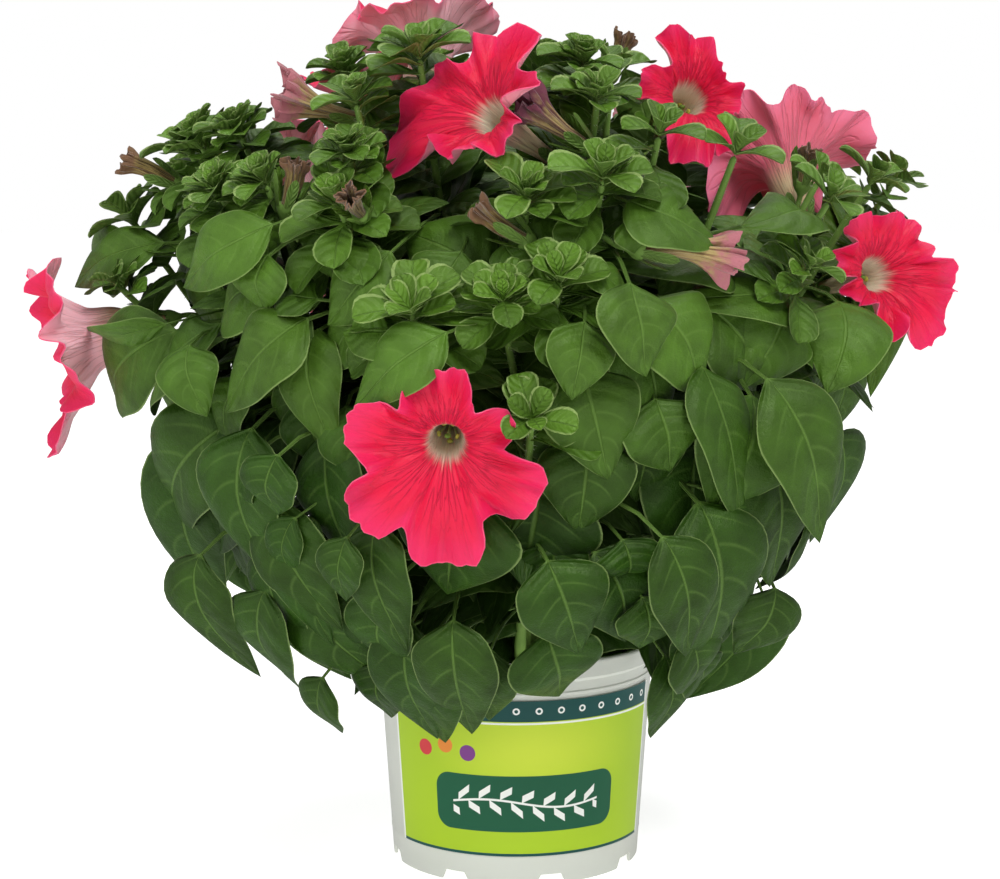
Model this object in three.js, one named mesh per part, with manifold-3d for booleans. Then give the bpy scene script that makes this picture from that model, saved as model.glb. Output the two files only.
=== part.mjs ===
// Potted petunia: a bushy flowering plant in a small plastic nursery pot.
// Sizes are in millimetres and degrees, +Z is up and -Y points at the viewer.
// The origin is the centre of the pot's underside. Azimuth 0 is the front, +90 the viewer's right.
import * as THREE from 'three';
import Module from 'manifold-3d';

const wasm = await Module();
wasm.setup();

// ---- Driving dimensions -------------------------------------------------------------------

const GAP = 0.3; // between pieces that rest on each other

const POT = {
  height: 95,
  footRadius: 52.5,
  shoulderRadius: 58.4, // outer wall just under the collar
  collarRadius: 60.9,
  collarHeight: 8.5,
  wall: 1.4,
  floorUnderside: 5,
  floorThickness: 1.6,
  padRadius: 12, // flat pad in the middle of the underside
  notchCount: 8,
  notchTurn: 16,
  notchWidth: 13,
  notchHeight: 4.2,
  drainCount: 4,
  drainRadius: 4,
  drainRing: 30,
  segments: 36,
};

const LABEL = { low: 12.7, high: 79, from: -60, to: 70, thickness: 0.5 };

const SOIL = { edge: 82.5, middle: 85.2, holeDepth: 12 };

const STEM = { rootRadius: 2.7, tipRadius: 1.4, forkRadius: 1.9 };
const STEM_STEPS = [0, 0.22, 0.45, 0.7, 1];
const FORK_STEPS = [0, 0.35, 0.68, 1];
const SEATS_PER_STEP = 16;
const SEAT_SPACING = 4; // between leaves and stalks on one stem

// The crown is the rounded surface that the leaf tips reach.
const CROWN = { radius: 160, middle: 195, rise: 160, drop: 155 };

// Each stem: root ring radius, then its tips as azimuth, height, layer, leaf count, leaf length.
const STEM_PLANS = [
  [43, [[-87, 270, 1.06, 6, 24], [-78, 245, 1.05, 5, 19]]],
  [29, [[-76, 299, 1.0, 5, 22], [-70, 302, 1.0, 6, 23]]],
  [43, [[-51, 283, 1.0, 6, 22], [-58, 306, 0.97, 5, 20]]],
  [30, [[-41, 287, 1.0, 6, 21], [-44, 328, 0.88, 5, 20]]],
  [42, [[-26, 279, 1.0, 6, 24], [-27, 298, 1.0, 5, 20], [-31, 317, 0.97, 5, 19]]],
  [15, [[-22, 334, 1.0, 7, 26], [-48, 333, 0.5, 5, 21], [-150, 322, 0.6, 5, 22]]],
  [46, [[-13.5, 243, 1.03, 7, 24]]],
  [23, [[1, 283, 1.0, 6, 23]]],
  [47, [[1.5, 206, 1.03, 6, 22]]],
  [34, [[5, 254, 1.03, 6, 23], [-2, 247, 1.02, 5, 22]]],
  [12, [[15, 331, 0.93, 6, 21], [35, 329, 0.6, 5, 22], [110, 320, 0.62, 5, 22]]],
  [28, [[12, 290, 1.02, 6, 24], [14, 318, 1.0, 5, 21]]],
  [37, [[23, 305, 1.0, 6, 23], [19, 325, 0.96, 5, 20]]],
  [25, [[36, 298, 1.0, 6, 25]]],
  [44, [[54, 280, 1.0, 6, 22], [46, 256, 0.98, 5, 19]]],
  [33, [[72, 286, 1.03, 5, 22], [62, 287, 0.93, 5, 20]]],
  [43, [[89, 284, 1.08, 6, 23], [83, 258, 1.02, 5, 21]]],
  [28, [[104, 302, 1.0, 6, 23], [112, 268, 1.02, 6, 23]]],
  [43, [[124, 284, 1.0, 6, 24], [122, 246, 1.02, 5, 22]]],
  [29, [[137, 318, 0.98, 5, 22], [144, 298, 1.0, 6, 23]]],
  [43, [[157, 260, 1.02, 6, 24], [164, 286, 1.0, 5, 21]]],
  [24, [[172, 334, 0.75, 5, 22], [180, 308, 1.0, 6, 24], [222, 326, 0.8, 5, 22]]],
  [43, [[190, 274, 1.02, 6, 23], [186, 238, 1.03, 5, 22]]],
  [30, [[206, 324, 0.95, 5, 22], [214, 297, 1.0, 6, 23]]],
  [42, [[233, 262, 1.02, 6, 23], [256, 286, 1.0, 6, 22]]],
];

// Large leaves of the front and sides. Azimuth and height of the blade's base and of its tip,
// its width, the layers of base and tip, and its roll about the midrib.
const FRONT_LEAVES = [
  [-78, 262, -88, 244, 30, 1.0, 1.2, 0],
  [-88, 257, -104, 241, 28, 0.98, 1.12, 0],
  [-64, 233, -86, 221, 24, 0.98, 1.08, 25],
  [-62, 228, -84, 190, 33, 1.0, 1.05, 0],
  [-50, 227, -45, 203, 24, 1.02, 1.04, 0],
  [-31, 238, -43.5, 204, 33, 1.0, 1.02, 0],
  [-42, 272, -58, 249, 33, 1.0, 1.02, 0],
  [-36, 263, -37, 242, 28, 1.02, 1.03, 0],
  [-30, 233, -26, 189, 26, 1.0, 1.02, 0],
  [-40, 254, -60, 228, 33, 0.93, 0.95, 0],
  [-44, 215, -48, 186, 28, 0.9, 0.92, 0],
  [-21, 265, -30, 239, 29, 0.98, 1.0, 0],
  [-16, 238, -24, 239, 21, 0.98, 0.98, 0],
  [-10, 236, -21.5, 211, 25, 1.02, 1.03, 0],
  [-12, 239, -5, 243, 24, 1.0, 1.0, 0],
  [1, 246, -13.5, 264, 34, 0.97, 1.0, 0],
  [5, 241, 3.5, 214, 24, 1.05, 1.08, 0],
  [8.5, 255, 10.5, 221, 32, 1.02, 1.05, 0],
  [8.5, 222, 12.3, 183, 36, 0.98, 1.0, 0],
  [17, 282, 30, 271, 32, 1.0, 1.02, 0],
  [12, 262, 20, 247, 18, 1.0, 1.02, 30],
  [20, 278, 22, 264, 22, 0.98, 1.0, 0],
  [16, 245, 27.5, 203, 41, 1.02, 1.05, 0],
  [19, 212, 22, 184, 35, 0.95, 0.97, 0],
  [46, 247, 23, 251, 31, 0.97, 0.99, 0],
  [48, 278, 34, 276, 27, 0.98, 1.0, 0],
  [57, 240, 49, 211, 35, 1.0, 1.03, 0],
  [40, 236, 44, 213, 27, 0.92, 0.95, 0],
  [58, 224, 66, 211, 23, 1.0, 1.0, 0],
  [39, 213, 49, 152, 33, 1.02, 1.06, 0],
  [35, 207, 29, 165, 47, 1.0, 1.02, 0],
  [41, 183, 46, 132, 41, 0.97, 1.0, 0],
  [27, 167, 36, 100, 44, 1.02, 1.05, 0],
  [48, 132, 45, 102, 30, 0.97, 1.0, 0],
  [19.5, 159, 26.5, 111, 28, 1.0, 1.03, 0],
  [29, 120, 36, 88, 27, 1.0, 1.05, 0],
  [31, 103, 36.5, 64, 21, 0.98, 1.22, 0],
  [38, 107, 44.5, 83, 23, 0.98, 1.02, 0],
  [13.5, 197, 12, 150, 35, 1.02, 1.05, 0],
  [18, 184, 20, 157, 30, 0.97, 0.99, 0],
  [15, 160, 16.5, 139, 26, 0.94, 0.96, 0],
  [22, 137, 24, 111, 25, 0.95, 0.97, 0],
  [5, 182, 8, 145, 27, 1.0, 1.02, 0],
  [4.5, 151, 10.5, 112, 34, 1.0, 1.02, 0],
  [5, 120, 11.3, 85, 36, 0.96, 0.88, 0],
  [2, 187, 4, 166, 30, 0.95, 0.97, 0],
  [-3, 174, -9.5, 122, 48, 1.02, 1.04, 0],
  [-16.5, 163, -14.5, 113, 27, 1.0, 1.03, 0],
  [-21, 134, -25, 101, 29, 1.0, 1.02, 0],
  [-10, 124, -11.3, 71, 27, 0.98, 0.98, 0],
  [-3, 131, -2, 105, 30, 0.9, 0.9, 0],
  [-17, 110, -21.8, 61, 27, 0.98, 1.12, 0],
  [-5, 112, -6.6, 76, 22, 0.93, 0.95, 0],
  [-41, 193, -41.5, 137, 39, 1.02, 1.05, 0],
  [-52, 196, -84, 137, 35, 0.98, 1.07, 0],
  [-62, 180, -80, 100, 35, 1.02, 1.15, 0],
  [-55, 140, -58, 88, 33, 1.02, 1.06, 0],
  [-44, 129, -54, 82, 33, 0.98, 1.02, 0],
  [-36, 166, -30, 118, 34, 1.0, 1.02, 0],
  [-32, 191, -34, 165, 27, 0.98, 1.0, 0],
  [-25, 207, -21, 180, 27, 0.93, 0.95, 0],
  [-22, 163, -24, 135, 19, 1.0, 1.03, 0],
  [-36, 133, -27, 92, 35, 1.0, 1.02, 0],
  [-38, 98, -43, 67, 23, 0.98, 1.18, 0],
];

// Large leaves of the far side: rows of base height, tip height and blade width.
const BACK_ROWS = [
  [118, 76, 30],
  [150, 104, 35],
  [186, 138, 38],
  [216, 172, 35],
  [244, 206, 32],
  [272, 244, 29],
];
const BACK = { from: 74, to: 286, step: 30 };

// Open blooms: throat, facing direction, limb radius, tube length, then the five lobes as
// angle from straight down, length share and curl (positive bends forwards).
const BLOOM_PLANS = [
  [[-26, -160, 198], [-0.05, -0.97, -0.18], 38, 38,
    [[0, 1.12, 0.05], [54, 1.14, 0.0], [100, 0.9, 0.1], [178, 0.76, 0.05], [302, 0.95, 0.1]]],
  [[-181, -20, 221], [-0.96, -0.12, -0.25], 40, 38,
    [[0, 1.05, 0.35], [72, 0.95, -0.1], [144, 0.92, -0.1], [216, 0.95, -0.1], [288, 0.9, -0.15]]],
  [[-38, 2, 342], [-0.05, 0.4, 0.92], 37, 38,
    [[20, 1.0, -0.15], [88, 1.05, -0.2], [160, 1.0, 0.1], [232, 0.9, 0.2], [300, 0.85, 0.1]]],
  [[-11, -118, 314], [-0.62, -0.62, 0.42], 40, 36,
    [[58, 1.12, -0.05], [108, 0.85, 0.0], [165, 0.75, 0.05], [226, 0.9, 0.1], [312, 0.66, 0.0]]],
  [[68, -55, 321], [0.3, -0.85, 0.4], 31, 36,
    [[12, 1.05, 0.0], [96, 0.75, 0.1], [158, 0.82, 0.2], [204, 0.75, 0.1], [318, 0.85, 0.0]]],
  [[112, -6, 295], [-0.1, 0.72, 0.68], 36, 36,
    [[22, 0.85, -0.3], [96, 1.05, 0.0], [168, 0.78, 0.1], [222, 0.85, 0.15], [312, 0.98, -0.5]]],
  [[142, -58, 252], [0.5, -0.82, 0.22], 34, 34,
    [[8, 0.76, 0.0], [92, 0.78, 0.1], [160, 0.72, 0.1], [228, 0.78, 0.1], [310, 1.02, 0.0]]],
  [[-57, -42, 322], [-0.35, 0.1, 0.93], 27, 34,
    [[0, 1.0, 0.2], [72, 0.9, 0.4], [144, 1.0, 0.3], [216, 0.9, 0.3], [288, 1.0, 0.3]]],
  [[72, 134, 292], [0.35, 0.75, 0.5], 35, 36,
    [[0, 1.05, 0.0], [72, 1.0, 0.2], [144, 0.95, -0.2], [216, 1.0, 0.1], [288, 0.95, 0.0]]],
  [[-62, 158, 232], [-0.35, 0.92, 0.1], 36, 38,
    [[0, 1.1, 0.1], [72, 0.95, 0.0], [144, 0.9, -0.3], [216, 0.95, 0.2], [288, 1.05, 0.0]]],
  [[-97, 84, 284], [-0.6, 0.3, 0.74], 34, 36,
    [[0, 1.0, -0.2], [72, 1.0, 0.1], [144, 0.95, 0.3], [216, 1.0, 0.2], [288, 0.95, -0.1]]],
];

// Withered blooms: calyx, mouth, mouth radius.
const WITHERED_PLANS = [
  [[-61, -81, 313], [-90, -87, 323], 10],
  [[25, -119, 303], [2, -126, 320], 8],
  [[114, -46, 288], [116, -49, 301], 4.5],
  [[44, -140, 266], [79, -127, 262], 9],
  [[38, -20, 331], [44, -20, 347], 5.5],
  [[-138, -32, 287], [-159, -32, 296], 5],
  [[-86, -112, 281], [-82, -115, 297], 5],
  [[-57, -138, 279], [-60, -152, 286], 5],
  [[2, -146, 270], [-15, -147, 282], 5],
];

// Ways to bend a blade clear of its neighbours, in the order in which they are tried.
const LEAF_BENDS = [
  { turn: 0, layer: 0, reach: 1, roll: 0 },
  { turn: 0, layer: 0.05, reach: 1, roll: 0 },
  { turn: 0, layer: -0.05, reach: 1, roll: 0 },
  { turn: 3, layer: 0, reach: 1, roll: 12 },
  { turn: -3, layer: 0, reach: 1, roll: -12 },
  { turn: 0, layer: 0.1, reach: 1, roll: 0 },
  { turn: 0, layer: -0.1, reach: 1, roll: 0 },
  { turn: 5, layer: 0.06, reach: 0.95, roll: 20 },
  { turn: -5, layer: 0.06, reach: 0.95, roll: -20 },
  { turn: 0, layer: -0.16, reach: 0.95, roll: 0 },
  { turn: 0, layer: 0, reach: 0.75, roll: 0 },
  { turn: 4, layer: -0.08, reach: 0.75, roll: 10 },
  { turn: -4, layer: -0.08, reach: 0.75, roll: -10 },
];
const ROSETTE_BENDS = [
  { turn: 0, open: 0, size: 1 },
  { turn: 6, open: -6, size: 1 },
  { turn: -6, open: -6, size: 1 },
  { turn: 0, open: -16, size: 0.9 },
  { turn: 6, open: -26, size: 0.75 },
  { turn: -6, open: 10, size: 0.7 },
];
const ROSETTE = { lift: 2.4, top: 0.9, notchRadius: 1.3 }; // above the branch's last ring

// ---- Vectors -------------------------------------------------------------------------------

const UP = [0, 0, 1];
const radians = THREE.MathUtils.degToRad;
const add = (a, b) => a.map((value, i) => value + b[i]);
const sub = (a, b) => a.map((value, i) => value - b[i]);
const scale = (a, k) => a.map((value) => value * k);
const dot = (a, b) => a[0] * b[0] + a[1] * b[1] + a[2] * b[2];
const size = (a) => Math.sqrt(dot(a, a));
const unit = (a) => scale(a, 1 / size(a));
const along = (a, direction, distance) => add(a, scale(direction, distance));
const mix = (a, b, t) => add(scale(a, 1 - t), scale(b, t));
const lerp = (a, b, t) => a + (b - a) * t;

function cross(a, b) {
  return [a[1] * b[2] - a[2] * b[1], a[2] * b[0] - a[0] * b[2], a[0] * b[1] - a[1] * b[0]];
}

// The part of a that is square to the unit direction, made unit.
function squareTo(a, direction) {
  return unit(along(a, direction, -dot(a, direction)));
}

// A fixed draw between 0 and 1 for three numbers.
function chance(a, b, c) {
  const value = Math.sin(a * 12.9898 + b * 78.233 + c * 37.719) * 43758.5453;
  return value - Math.floor(value);
}

function radial(azimuth) {
  return [Math.sin(radians(azimuth)), -Math.cos(radians(azimuth)), 0];
}

function azimuthOf(point) {
  return THREE.MathUtils.radToDeg(Math.atan2(point[0], -point[1]));
}

// A point on the crown, or on a layer inside or outside it.
function crownPoint(azimuth, height, layer) {
  const upper = height > CROWN.middle;
  const t = Math.min(1, Math.abs(height - CROWN.middle) / (upper ? CROWN.rise : CROWN.drop));
  const power = upper ? 2.5 : 2;
  const radius = layer * CROWN.radius * Math.pow(1 - Math.pow(t, power), 1 / power);
  return add(scale(radial(azimuth), radius), [0, 0, height]);
}

// The way that leaves at this height look: outwards on the sides, upwards on top.
function outlook(azimuth, height) {
  const share = THREE.MathUtils.clamp((height - CROWN.middle) / CROWN.rise, 0, 1);
  const rise = radians(14 + 58 * share);
  return add(scale(radial(azimuth), Math.cos(rise)), scale(UP, Math.sin(rise)));
}

// ---- Solids --------------------------------------------------------------------------------

function solidOf(points, faces) {
  let volume = 0;
  for (const [a, b, c] of faces) volume += dot(points[a], cross(points[b], points[c]));
  const turned = volume < 0 ? faces.map(([a, b, c]) => [a, c, b]) : faces;
  return new wasm.Manifold(new wasm.Mesh({
    numProp: 3,
    vertProperties: new Float32Array(points.flat()),
    triVerts: new Uint32Array(turned.flat()),
  }));
}

// Faces between rings of points, and the cap of the first ring. The diagonals of four-point rings
// lean alike on both faces, so that a thin, waved blade never crosses itself.
function ringFaces(rings) {
  const faces = [];
  let start = 0;
  for (let r = 0; r + 1 < rings.length; r += 1) {
    const [near, far] = [rings[r].length, rings[r + 1].length];
    const next = start + near;
    for (let i = 0; i < Math.max(near, far); i += 1) {
      const a = start + (i % near);
      const b = start + ((i + 1) % near);
      const c = next + ((i + 1) % far);
      const d = next + (i % far);
      if (near === 1) faces.push([a, c, d]);
      else if (far === 1) faces.push([a, b, d]);
      else if (near === 4 && i % 2 === 1) faces.push([a, b, d], [b, c, d]);
      else faces.push([a, b, c], [a, c, d]);
    }
    start = next;
  }
  for (let i = 1; i + 1 < rings[0].length; i += 1) faces.push([0, i + 1, i]);
  return faces;
}

// A closed skin over rings of points. A ring of one point closes an end.
function skin(rings) {
  const points = rings.flat();
  const faces = ringFaces(rings);
  const last = points.length - rings.at(-1).length;
  for (let i = 1; i + 1 < rings.at(-1).length; i += 1) faces.push([last, last + i, last + i + 1]);
  return solidOf(points, faces);
}

function circle(centre, across, square, radius, sides) {
  return Array.from({ length: sides }, (_, i) => {
    const angle = (2 * Math.PI * i) / sides;
    return add(centre, add(scale(across, radius * Math.cos(angle)), scale(square, radius * Math.sin(angle))));
  });
}

// A solid turned about Z from an outline of [radius, height] points that starts and ends on the axis.
function turned(outline, segments) {
  return skin(outline.map(([radius, height]) => (
    radius === 0 ? [[0, 0, height]] : circle([0, 0, height], [0, -1, 0], [1, 0, 0], radius, segments)
  )));
}

// A block between two flat outlines of the same count of points.
function block(low, high) {
  return skin([low, high]);
}

// One body: the pieces are fused, and a scrap that the fusing leaves is dropped.
function fuse(pieces) {
  const bodies = wasm.Manifold.union(pieces).decompose();
  return bodies.reduce((best, body) => (body.volume() > best.volume() ? body : best));
}

// ---- Blades --------------------------------------------------------------------------------

// A blade is a thin lens in section, thickest on its midrib, and runs along an arched spine.
// Stations are [place on the spine, share of the half width].
const LEAF = { thickness: 1.2, fold: 0.14, spread: 0.2 };
const YOUNG = { thickness: 0.9, fold: 0.2, widthShare: 0.3, spread: 0.15 };
const LARGE_STATIONS = [[0.3, 0.36], [0.6, 1], [0.84, 0.62]];
const SMALL_STATIONS = [[0.42, 0.66], [0.78, 1]];

function spinePoint(spine, t) {
  const [start, control, end] = spine;
  return add(add(scale(start, (1 - t) ** 2), scale(control, 2 * t * (1 - t))), scale(end, t * t));
}

function spineTangent(spine, t) {
  const [start, control, end] = spine;
  return unit(add(scale(sub(control, start), 1 - t), scale(sub(end, control), t)));
}

function bladeFrame(spine, t, look, roll) {
  const tangent = spineTangent(spine, t);
  const face = squareTo(look, tangent);
  const side = cross(tangent, face);
  const turn = radians(roll);
  return {
    point: spinePoint(spine, t),
    side: add(scale(side, Math.cos(turn)), scale(face, Math.sin(turn))),
    face: add(scale(face, Math.cos(turn)), scale(side, -Math.sin(turn))),
  };
}

// The section of a blade: its edges and the two sides of its midrib. A slim blade is flat above
// its keel. spread fattens it for the test of its clearance.
function bladeSection(shape, [place, share], spread) {
  const { point, side, face } = bladeFrame(shape.spine, place, shape.look, shape.roll);
  const reach = shape.halfWidth * share + spread;
  const lifted = along(point, face, shape.fold * shape.halfWidth * share);
  const section = [along(lifted, side, -reach), along(lifted, side, reach)];
  if (shape.slim) {
    section.push(along(point, face, -shape.thickness - spread));
    return spread ? [section[0], along(lifted, face, spread), section[1], section[2]] : section;
  }
  section.splice(1, 0, along(point, face, shape.thickness / 2 + spread));
  section.push(along(point, face, -shape.thickness / 2 - spread));
  return section;
}

// The whole blade, from its root inside the stem to its tip.
function blade(shape, spread = 0) {
  const sections = shape.stations.map((station) => bladeSection(shape, station, spread));
  return skin([[shape.spine[0]], ...sections, [bladeTip(shape, spread)]]);
}

function bladeTip(shape, spread = 0) {
  return along(shape.spine[2], spineTangent(shape.spine, 1), spread);
}

// The blade without its root, which keeps clear of its own stem and of its sisters.
function outerBlade(shape) {
  const [place, share] = shape.stations[0];
  const stations = [[place * 0.4, share * 0.4], ...shape.stations];
  return skin([...stations.map((station) => bladeSection(shape, station, 0)), [bladeTip(shape)]]);
}

// ---- Placed solids and their clearance -----------------------------------------------------

const nodes = new Map(); // node name to { pieces, colour }
const placed = []; // every solid that a blade must keep clear of

// own is the part of the solid that blades of the same node keep clear of.
function place(node, colour, solid, own = solid) {
  if (!nodes.has(node)) nodes.set(node, { colour, pieces: [] });
  nodes.get(node).pieces.push(solid);
  standIn(node, solid, own);
}

// A solid that only keeps other pieces away.
function standIn(node, solid, own = solid) {
  placed.push({ node, solid, box: solid.boundingBox(), own, ownBox: own.boundingBox() });
}

function boxesMeet(a, b) {
  return [0, 1, 2].every((i) => a.min[i] < b.max[i] && b.min[i] < a.max[i]);
}

function meet(a, b) {
  const shared = a.intersect(b);
  const empty = shared.isEmpty();
  shared.delete();
  return !empty;
}

// Whether a trial solid keeps clear of all other nodes, and its own part of its node's pieces.
function isClear(trial, node, own = null) {
  const box = trial.boundingBox();
  const ownBox = own ? own.boundingBox() : null;
  return placed.every((other) => {
    if (other.node !== node) return !boxesMeet(box, other.box) || !meet(trial, other.solid);
    return !own || !boxesMeet(ownBox, other.ownBox) || !meet(own, other.own);
  });
}

function placeBlade(node, shape, spread) {
  const trial = blade(shape, spread);
  const own = outerBlade(shape);
  const clear = isClear(trial, node, own);
  trial.delete();
  if (clear) place(node, COLOURS.leaf, blade(shape), own);
  return clear;
}

// ---- Pot, label and soil -------------------------------------------------------------------

const COLOURS = {
  pot: 0xf1f1ee,
  label: 0x9fc51f,
  soil: 0x2c1d14,
  leaf: 0x3f6f2a,
  petal: 0xe2244f,
  stamen: 0xb9b85a,
  withered: 0x8a6a52,
};

function outerWall(height) {
  const shoulder = POT.height - POT.collarHeight;
  return lerp(POT.footRadius, POT.shoulderRadius, height / shoulder);
}

function notchCutter(azimuth) {
  const out = radial(azimuth);
  const side = [-out[1], out[0], 0];
  const outline = (distance) => [
    [-0.5, -1], [0.5, -1], [0.5, 0], [0.34, POT.notchHeight], [-0.34, POT.notchHeight], [-0.5, 0],
  ].map(([share, height]) => add(scale(out, distance), add(scale(side, share * POT.notchWidth), [0, 0, height])));
  return block(outline(POT.footRadius - 8), outline(POT.footRadius + 4));
}

function buildPot() {
  const floorTop = POT.floorUnderside + POT.floorThickness;
  const shoulder = POT.height - POT.collarHeight;
  const inside = (height) => outerWall(height) - POT.wall;
  let pot = turned([
    [0, 0],
    [POT.padRadius, 0],
    [POT.padRadius + 1, POT.floorUnderside],
    [inside(POT.floorUnderside), POT.floorUnderside],
    [inside(0), 0],
    [POT.footRadius, 0],
    [POT.shoulderRadius, shoulder],
    [POT.collarRadius - 0.6, shoulder + 1.2],
    [POT.collarRadius, POT.height - 0.8],
    [POT.collarRadius - 0.7, POT.height],
    [POT.collarRadius - 2, POT.height],
    [POT.collarRadius - 3, POT.height - 1.6],
    [inside(shoulder), shoulder],
    [inside(floorTop), floorTop],
    [0, floorTop],
  ], POT.segments);
  for (let i = 0; i < POT.notchCount; i += 1) {
    pot = pot.subtract(notchCutter(POT.notchTurn + (360 / POT.notchCount) * i));
  }
  for (let i = 0; i < POT.drainCount; i += 1) {
    const centre = scale(radial(45 + (360 / POT.drainCount) * i), POT.drainRing);
    const ring = (height) => circle(add(centre, [0, 0, height]), [1, 0, 0], [0, 1, 0], POT.drainRadius, 8);
    pot = pot.subtract(block(ring(POT.floorUnderside - 1), ring(floorTop + 1)));
  }
  return pot;
}

// A thin skin round the wall, with the wall's own facets.
function buildLabel() {
  const step = 360 / POT.segments;
  const sections = [];
  for (let azimuth = LABEL.from; azimuth <= LABEL.to; azimuth += step) {
    const corner = (height, lift) => add(scale(radial(azimuth), outerWall(height) + lift), [0, 0, height]);
    sections.push([
      corner(LABEL.low, GAP),
      corner(LABEL.high, GAP),
      corner(LABEL.high, GAP + LABEL.thickness),
      corner(LABEL.low, GAP + LABEL.thickness),
    ]);
  }
  return skin(sections);
}

function buildSoil(roots) {
  const floorTop = POT.floorUnderside + POT.floorThickness + GAP;
  const inside = (height) => outerWall(height) - POT.wall - GAP;
  let soil = turned([
    [0, floorTop],
    [inside(floorTop), floorTop],
    [inside(SOIL.edge), SOIL.edge],
    [inside(SOIL.edge) * 0.7, lerp(SOIL.edge, SOIL.middle, 0.6)],
    [0, SOIL.middle],
  ], POT.segments);
  const floor = SOIL.edge - SOIL.holeDepth - GAP;
  for (const root of roots) {
    const ring = (height) => circle(
      [root.foot[0], root.foot[1], height], root.out, cross(UP, root.out), STEM.rootRadius + 1.3 * GAP,
      root.ends[0].leafCount,
    );
    soil = soil.subtract(block(ring(floor), ring(SOIL.middle + 5)));
  }
  return soil;
}

// ---- Stems ---------------------------------------------------------------------------------

function cubicPoint([a, b, c, d], t) {
  const s = 1 - t;
  return add(
    add(scale(a, s ** 3), scale(b, 3 * s * s * t)),
    add(scale(c, 3 * s * t * t), scale(d, t ** 3)),
  );
}

function tipOf([azimuth, height, layer, leafCount, leafLength]) {
  return {
    point: crownPoint(azimuth, height, layer),
    axis: unit(add(outlook(azimuth, height), scale(UP, 0.35))),
    leafCount,
    leafLength,
  };
}

// A stem leaves its hole upright, leans outwards and turns up again to its first tip.
// Its other tips stand on forks.
function planStem([ring, tips], index) {
  const name = `stem_${String(index + 1).padStart(2, '0')}`;
  const ends = tips.map(tipOf);
  const [main] = ends;
  const out = radial(azimuthOf(main.point));
  const foot = add(scale(out, ring), [0, 0, SOIL.edge - SOIL.holeDepth]);
  const collar = add(scale(out, ring), [0, 0, SOIL.middle + 1.5]);
  const rise = main.point[2] - collar[2];
  const lean = dot(main.point, out) - ring;
  const branches = ends.map((end, i) => {
    if (i === 0) {
      return [
        collar,
        add(collar, add(scale(UP, 0.3 * rise + 8), scale(out, 0.3 * lean))),
        along(end.point, end.axis, -0.36 * size(sub(end.point, collar))),
        end.point,
      ];
    }
    return null;
  });
  for (let i = 1; i < ends.length; i += 1) {
    const share = STEM_STEPS[i + 1];
    const start = cubicPoint(branches[0], share);
    const heading = unit(sub(cubicPoint(branches[0], share + 0.05), start));
    const distance = size(sub(ends[i].point, start));
    branches[i] = [
      start,
      along(start, heading, 0.3 * distance),
      along(ends[i].point, ends[i].axis, -0.3 * distance),
      ends[i].point,
    ];
  }
  const paths = branches.map((branch, i) => branchPath(branch, i === 0, foot));
  return { name, index, out, foot, ends, paths, taken: [] };
}

// The straight steps that a branch is built of. The main branch starts at the foot of the stem.
function branchPath(branch, main, foot) {
  const path = (main ? STEM_STEPS : FORK_STEPS).map((t) => cubicPoint(branch, t));
  return main ? [foot, ...path] : path;
}

// Rings of points along a branch, one point for each leaf of the rosette that it ends in.
// A fork starts as a point inside the main branch.
function branchRings(stem, tipIndex) {
  const path = stem.paths[tipIndex];
  const main = tipIndex === 0;
  const { leafCount } = stem.ends[tipIndex];
  let across = stem.out;
  return path.map((point, i) => {
    const tangent = unit(sub(path[Math.min(path.length - 1, i + 1)], path[Math.max(0, i - 1)]));
    across = squareTo(across, tangent);
    if (!main && i === 0) return [point];
    const share = main ? Math.max(0, i - 1) / (path.length - 2) : i / (path.length - 1);
    const radius = lerp(main ? STEM.rootRadius : STEM.forkRadius, STEM.tipRadius, share);
    return circle(point, across, cross(tangent, across), radius, leafCount);
  });
}

// The branch with room for its rosette's centre, but without leaves.
function bareBranch(stem, tipIndex) {
  const { point, axis, leafCount } = stem.ends[tipIndex];
  const lead = squareTo(UP, axis);
  const crown = circle(along(point, axis, ROSETTE.lift), lead, cross(axis, lead), ROSETTE.notchRadius + 2.6, leafCount);
  return wasm.Manifold.union([
    skin(branchRings(stem, tipIndex)),
    skin([[along(point, axis, -2)], crown, [along(point, axis, ROSETTE.lift + 2)]]),
  ]);
}

// The nearest place on each stem to a target, nearest stem first.
function seatsNear(stems, target, count) {
  const best = stems.map((stem) => {
    let seat = null;
    for (const path of stem.paths) {
      const places = (path.length - 1) * SEATS_PER_STEP;
      const first = path === stem.paths[0] ? 1.5 * SEATS_PER_STEP : 0.5 * SEATS_PER_STEP;
      for (let k = first; k < places - SEATS_PER_STEP / 4; k += 1) {
        const step = Math.floor(k / SEATS_PER_STEP);
        const point = mix(path[step], path[step + 1], k / SEATS_PER_STEP - step);
        const distance = size(sub(point, target));
        const free = stem.taken.every((other) => size(sub(point, other)) > SEAT_SPACING);
        if (free && (!seat || distance < seat.distance)) seat = { stem, point, distance };
      }
    }
    return seat;
  }).filter((seat) => seat);
  return best.sort((a, b) => a.distance - b.distance).slice(0, count);
}

// ---- Blooms --------------------------------------------------------------------------------

// Axes of a bloom: forwards, and in its plane down and to the right of down.
function bloomAxes(face) {
  const forward = unit(face);
  const down = squareTo([0, Math.abs(forward[2]) > 0.8 ? -1 : 0, -1], forward);
  return { forward, down, right: cross(down, forward) };
}

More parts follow.
